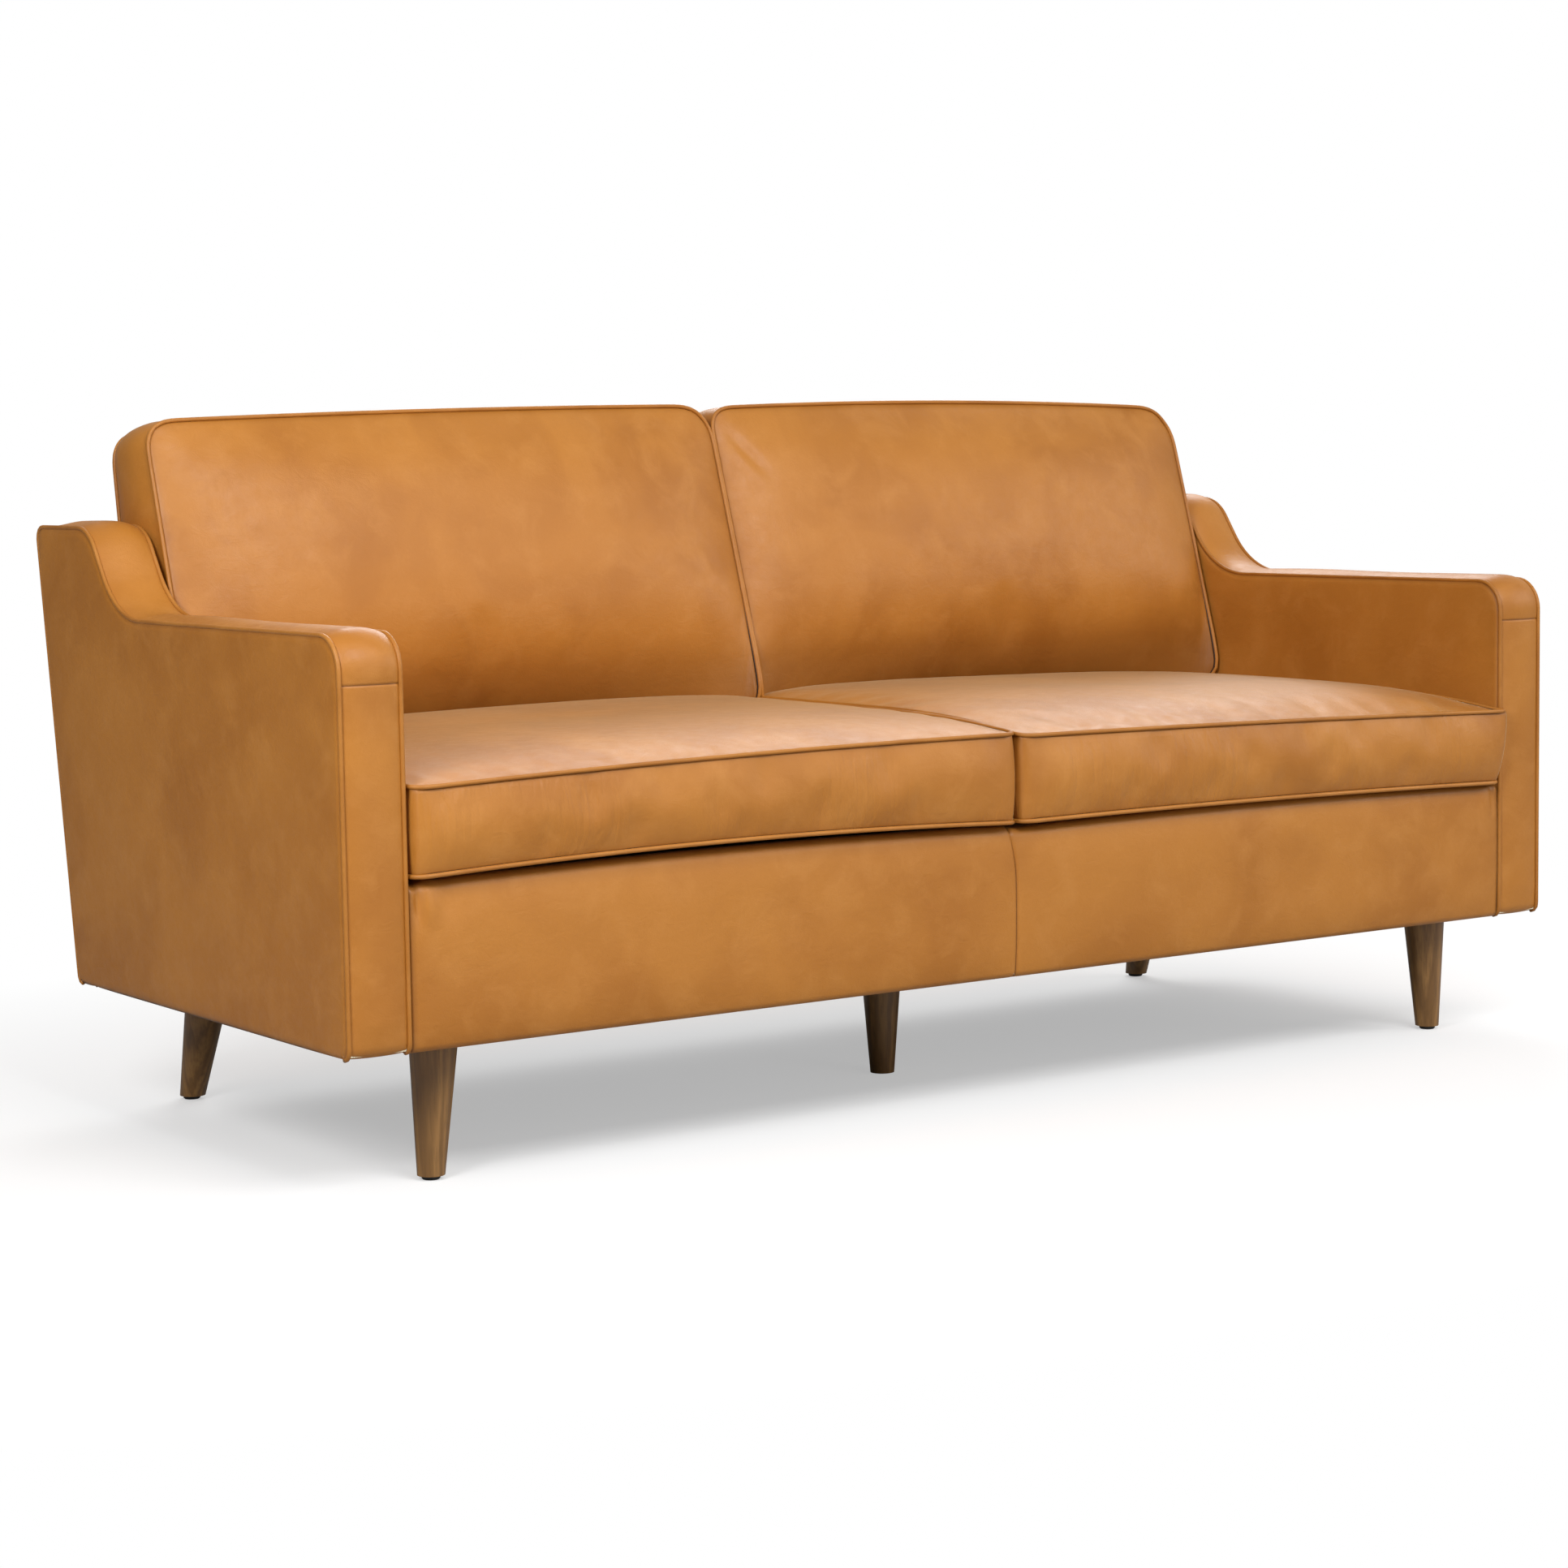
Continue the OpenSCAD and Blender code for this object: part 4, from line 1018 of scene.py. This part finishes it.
def zip_fastener(name, wall, height, level, ends, out, body, replaces, mirror):
    """A tape with teeth along a flat side of a cushion, between two folded edges of leather.
    wall is the side's points, along by across, and height says how far across each of them is. The
    zip runs at the height level."""
    xs = np.arange(ends[0], ends[1], ZIP_PITCH)

    def line(across, lift):
        """A line along the side, beside the zip's middle and above the leather."""
        at = level + across
        row = np.array([[np.interp(at, h, w[:, k]) for k in range(3)] for h, w in zip(height, wall)])
        return np.stack([np.interp(xs, row[:, 0], row[:, k]) for k in range(3)], -1) + out * lift

    build = Build()
    # The tape's section: places across it, and heights above the leather
    section = [(-0.0065, 0.0002), (-0.0058, 0.0006), (0.0058, 0.0006), (0.0065, 0.0002),
               (0.0060, -0.0008), (-0.0060, -0.0008)]
    p = np.array([line(*at) for at in section])
    turned = np.cross(p[2, 0] - p[1, 0], p[1, 1] - p[1, 0]) @ out < 0
    build.grid(p, flip=turned, wrap=True)
    for end, back in ((0, turned), (-1, not turned)):
        build.add(p[:, end], [tuple(range(len(section)))[::1 if back else -1]])
    # The teeth lean to either side in turn, between two larger stops
    low, high = line(-0.0021, 0.0008), line(0.0021, 0.0008)
    for i in range(len(xs)):
        side_way = (high[i] - low[i]) / np.linalg.norm(high[i] - low[i])
        middle = (low[i] + high[i]) / 2 + side_way * (0.0005 if i % 2 else -0.0005)
        stop = 1.8 if i in (0, len(xs) - 1) else 1.0
        along, wide, tall = np.array((0.0010 * stop, 0, 0)), side_way * 0.0019 * stop, out * 0.0006
        corners = [middle + a * along + b * wide + c * tall
                   for c in (-1, 1) for a, b in ((-1, -1), (1, -1), (1, 1), (-1, 1))]
        boxed = [(0, 3, 2, 1), (4, 5, 6, 7), (0, 1, 5, 4), (1, 2, 6, 5), (2, 3, 7, 6), (3, 0, 4, 7)]
        inside_out = np.cross(along, wide) @ out < 0
        build.add(corners, [f[::-1] for f in boxed] if inside_out else boxed, material=1)
    for across in (-0.0082, 0.0082):
        build.tube(line(across, -0.0006), 0.0015, 8, material=2)
    build.make(name, [ZIP_TAPE, BRASS, PIPING], body, replaces, mirror=mirror, weld=0)


def cushion_zip(side, where, lat, p):
    """The zip in the side of a cushion that isn't seen in use."""
    seat = where == "seat"
    nu, nv, nw = lat.n
    j = nv if seat else 0
    wall = np.array([[p[lat.index[(i, j, k)]] for k in range(nw + 1)] for i in range(nu + 1)])
    c, n = math.cos(LEAN), math.sin(LEAN)
    height = wall[..., 2] if seat else -(wall[..., 1] - BASE_REAR) * c + (wall[..., 2] - Z0) * n
    out = np.array((0.0, 1.0, 0.0)) if seat else np.array((0.0, -n, -c))
    low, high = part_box(f"right_{where}_zip")
    zip_fastener(f"{side}_{where}_zip_tape", wall, height, ZIP_Z if seat else ZIP_T, (low.x, high.x),
                 out, f"{side}_{where}_cushion", [f"{side}_{where}_zip"], side == "left")


def cushions():
    """The four loose cushions, each with its cover, foam, zip and welts."""
    up = np.array((0.0, 0.0, 1.0))
    forward = np.array((0.0, -math.cos(LEAN), math.sin(LEAN)))
    for side in ("left", "right"):
        for where, shape, material, way in (("seat", seat_cushion, LEATHER_SEAT, up),
                                            ("back", back_cushion, LEATHER_BACK, forward)):
            lat, p = shape(side)
            body = f"{side}_{where}_cushion"
            pad, rings = pad_object(f"{side}_{where}_pad", lat, p, material, body,
                                    [f"{side}_{where}_cover"], side == "left")
            foam_core(f"{side}_{where}_foam", pad, body, [f"{side}_{where}_core"])
            cushion_zip(side, where, lat, p)
            welt_pair(f"{side}_{where}_piping", rings, [-way, way], body, [f"{side}_{where}_welts"])


cushions()


# ------ floor, light, camera
def floor():
    """A pale floor that fades into white away from the sofa, and throws little light back up."""
    n = Nodes("pale_floor")
    seen = n.node("LightPath").outputs["Is Camera Ray"]
    away = n.node("VectorMath", {0: n.place(scale=(0.8, 1.3, 1.0))}, operation="LENGTH").outputs["Value"]
    n.shade(Base_Color=n.mix(seen, rgb(0.40, 0.40, 0.40), rgb(0.95, 0.95, 0.95)), Roughness=0.9,
            Specular_IOR_Level=0.1)
    white = n.node("Emission", {"Color": rgb(1, 1, 1), "Strength": 1.0}).outputs[0]
    far = n.math("MULTIPLY", n.remap(away, 0.7, 1.9, 0.42, 1.0), seen)
    mixed = n.node("MixShader", {0: far, 1: n.shader.outputs[0], 2: white})
    n.tree.links.new(mixed.outputs[0], n.tree.nodes["Material Output"].inputs["Surface"])
    size = 30.0
    mesh = bpy.data.meshes.new("floor")
    corners = [(-size, -size, 0), (size, -size, 0), (size, size, 0), (-size, size, 0)]
    mesh.from_pydata(corners, [], [(0, 1, 2, 3)])
    mesh.materials.append(n.material)
    new_object("floor", mesh)


def area_light(name, place, target, size, power):
    """A white rectangular lamp at place, turned to target, that the camera doesn't see."""
    data = bpy.data.lights.new(name, "AREA")
    data.shape = "RECTANGLE"
    data.size, data.size_y = size
    data.energy = power
    obj = new_object(name, data)
    obj.location = place
    obj.rotation_euler = (Vector(target) - Vector(place)).to_track_quat("-Z", "Y").to_euler()
    obj.visible_camera = False


def camera():
    """At the photograph's angle: left of the front, a little above the arms, looking slightly down."""
    yaw, pitch, roll = 0.6041, 0.0963, -0.01543
    place = (-2.6604, FRONT - 3.3425, 0.8264)
    forward = Vector((math.sin(yaw) * math.cos(pitch), math.cos(yaw) * math.cos(pitch),
                      -math.sin(pitch)))
    level = Vector((math.cos(yaw), -math.sin(yaw), 0))
    upright = level.cross(forward)
    right = math.cos(roll) * level + math.sin(roll) * upright
    up = -math.sin(roll) * level + math.cos(roll) * upright
    data = bpy.data.cameras.new("camera")
    data.sensor_width = 36.0
    data.lens = 77.83
    data.clip_end = 100
    obj = new_object("camera", data)
    turn = Matrix((right, up, -forward)).transposed().to_4x4()
    obj.matrix_world = Matrix.Translation(place) @ turn
    bpy.context.scene.camera = obj


def surround():
    """A soft white room, brightest above and to the right; the camera sees plain white."""
    world = bpy.data.worlds.new("studio")
    n = Nodes("studio", world)
    source = Vector((0.80, -0.20, 0.60)).normalized()
    towards = n.node("VectorMath", {0: n.node("TexCoord").outputs["Generated"], 1: source},
                     operation="DOT_PRODUCT").outputs["Value"]
    ramp = n.node("MapRange", {"Value": towards, "From Min": -0.85, "From Max": 0.75,
                               "To Min": 0.07, "To Max": 0.42}, interpolation_type="SMOOTHSTEP").outputs[0]
    seen = n.node("LightPath").outputs["Is Camera Ray"]
    n.shade(Strength=n.node("Mix", {0: seen, 2: ramp, 3: 1.0}).outputs[0], Color=rgb(1, 1, 1))
    bpy.context.scene.world = world


def lights():
    """One large lamp above the front, weaker ones below it and at both sides, and one behind."""
    area_light("main", (-0.3, -3.4, 3.6), (0, 0.1, 0.4), (2.4, 1.6), 116)
    area_light("low", (0.9, -4.3, 1.2), (-0.4, 0, 0.45), (1.6, 1.6), 17)
    area_light("right", (3.6, -2.6, 2.2), (0.3, 0, 0.6), (2.4, 1.8), 44)
    area_light("left", (-2.7, -1.4, 1.9), (-0.9, -0.1, 0.45), (1.0, 1.0), 52)
    area_light("rear", (1.9, 2.3, 2.6), (0.2, -0.1, 0.45), (2.8, 1.4), 70)


floor()
surround()
lights()
camera()
bpy.context.scene.view_settings.view_transform = "Standard"
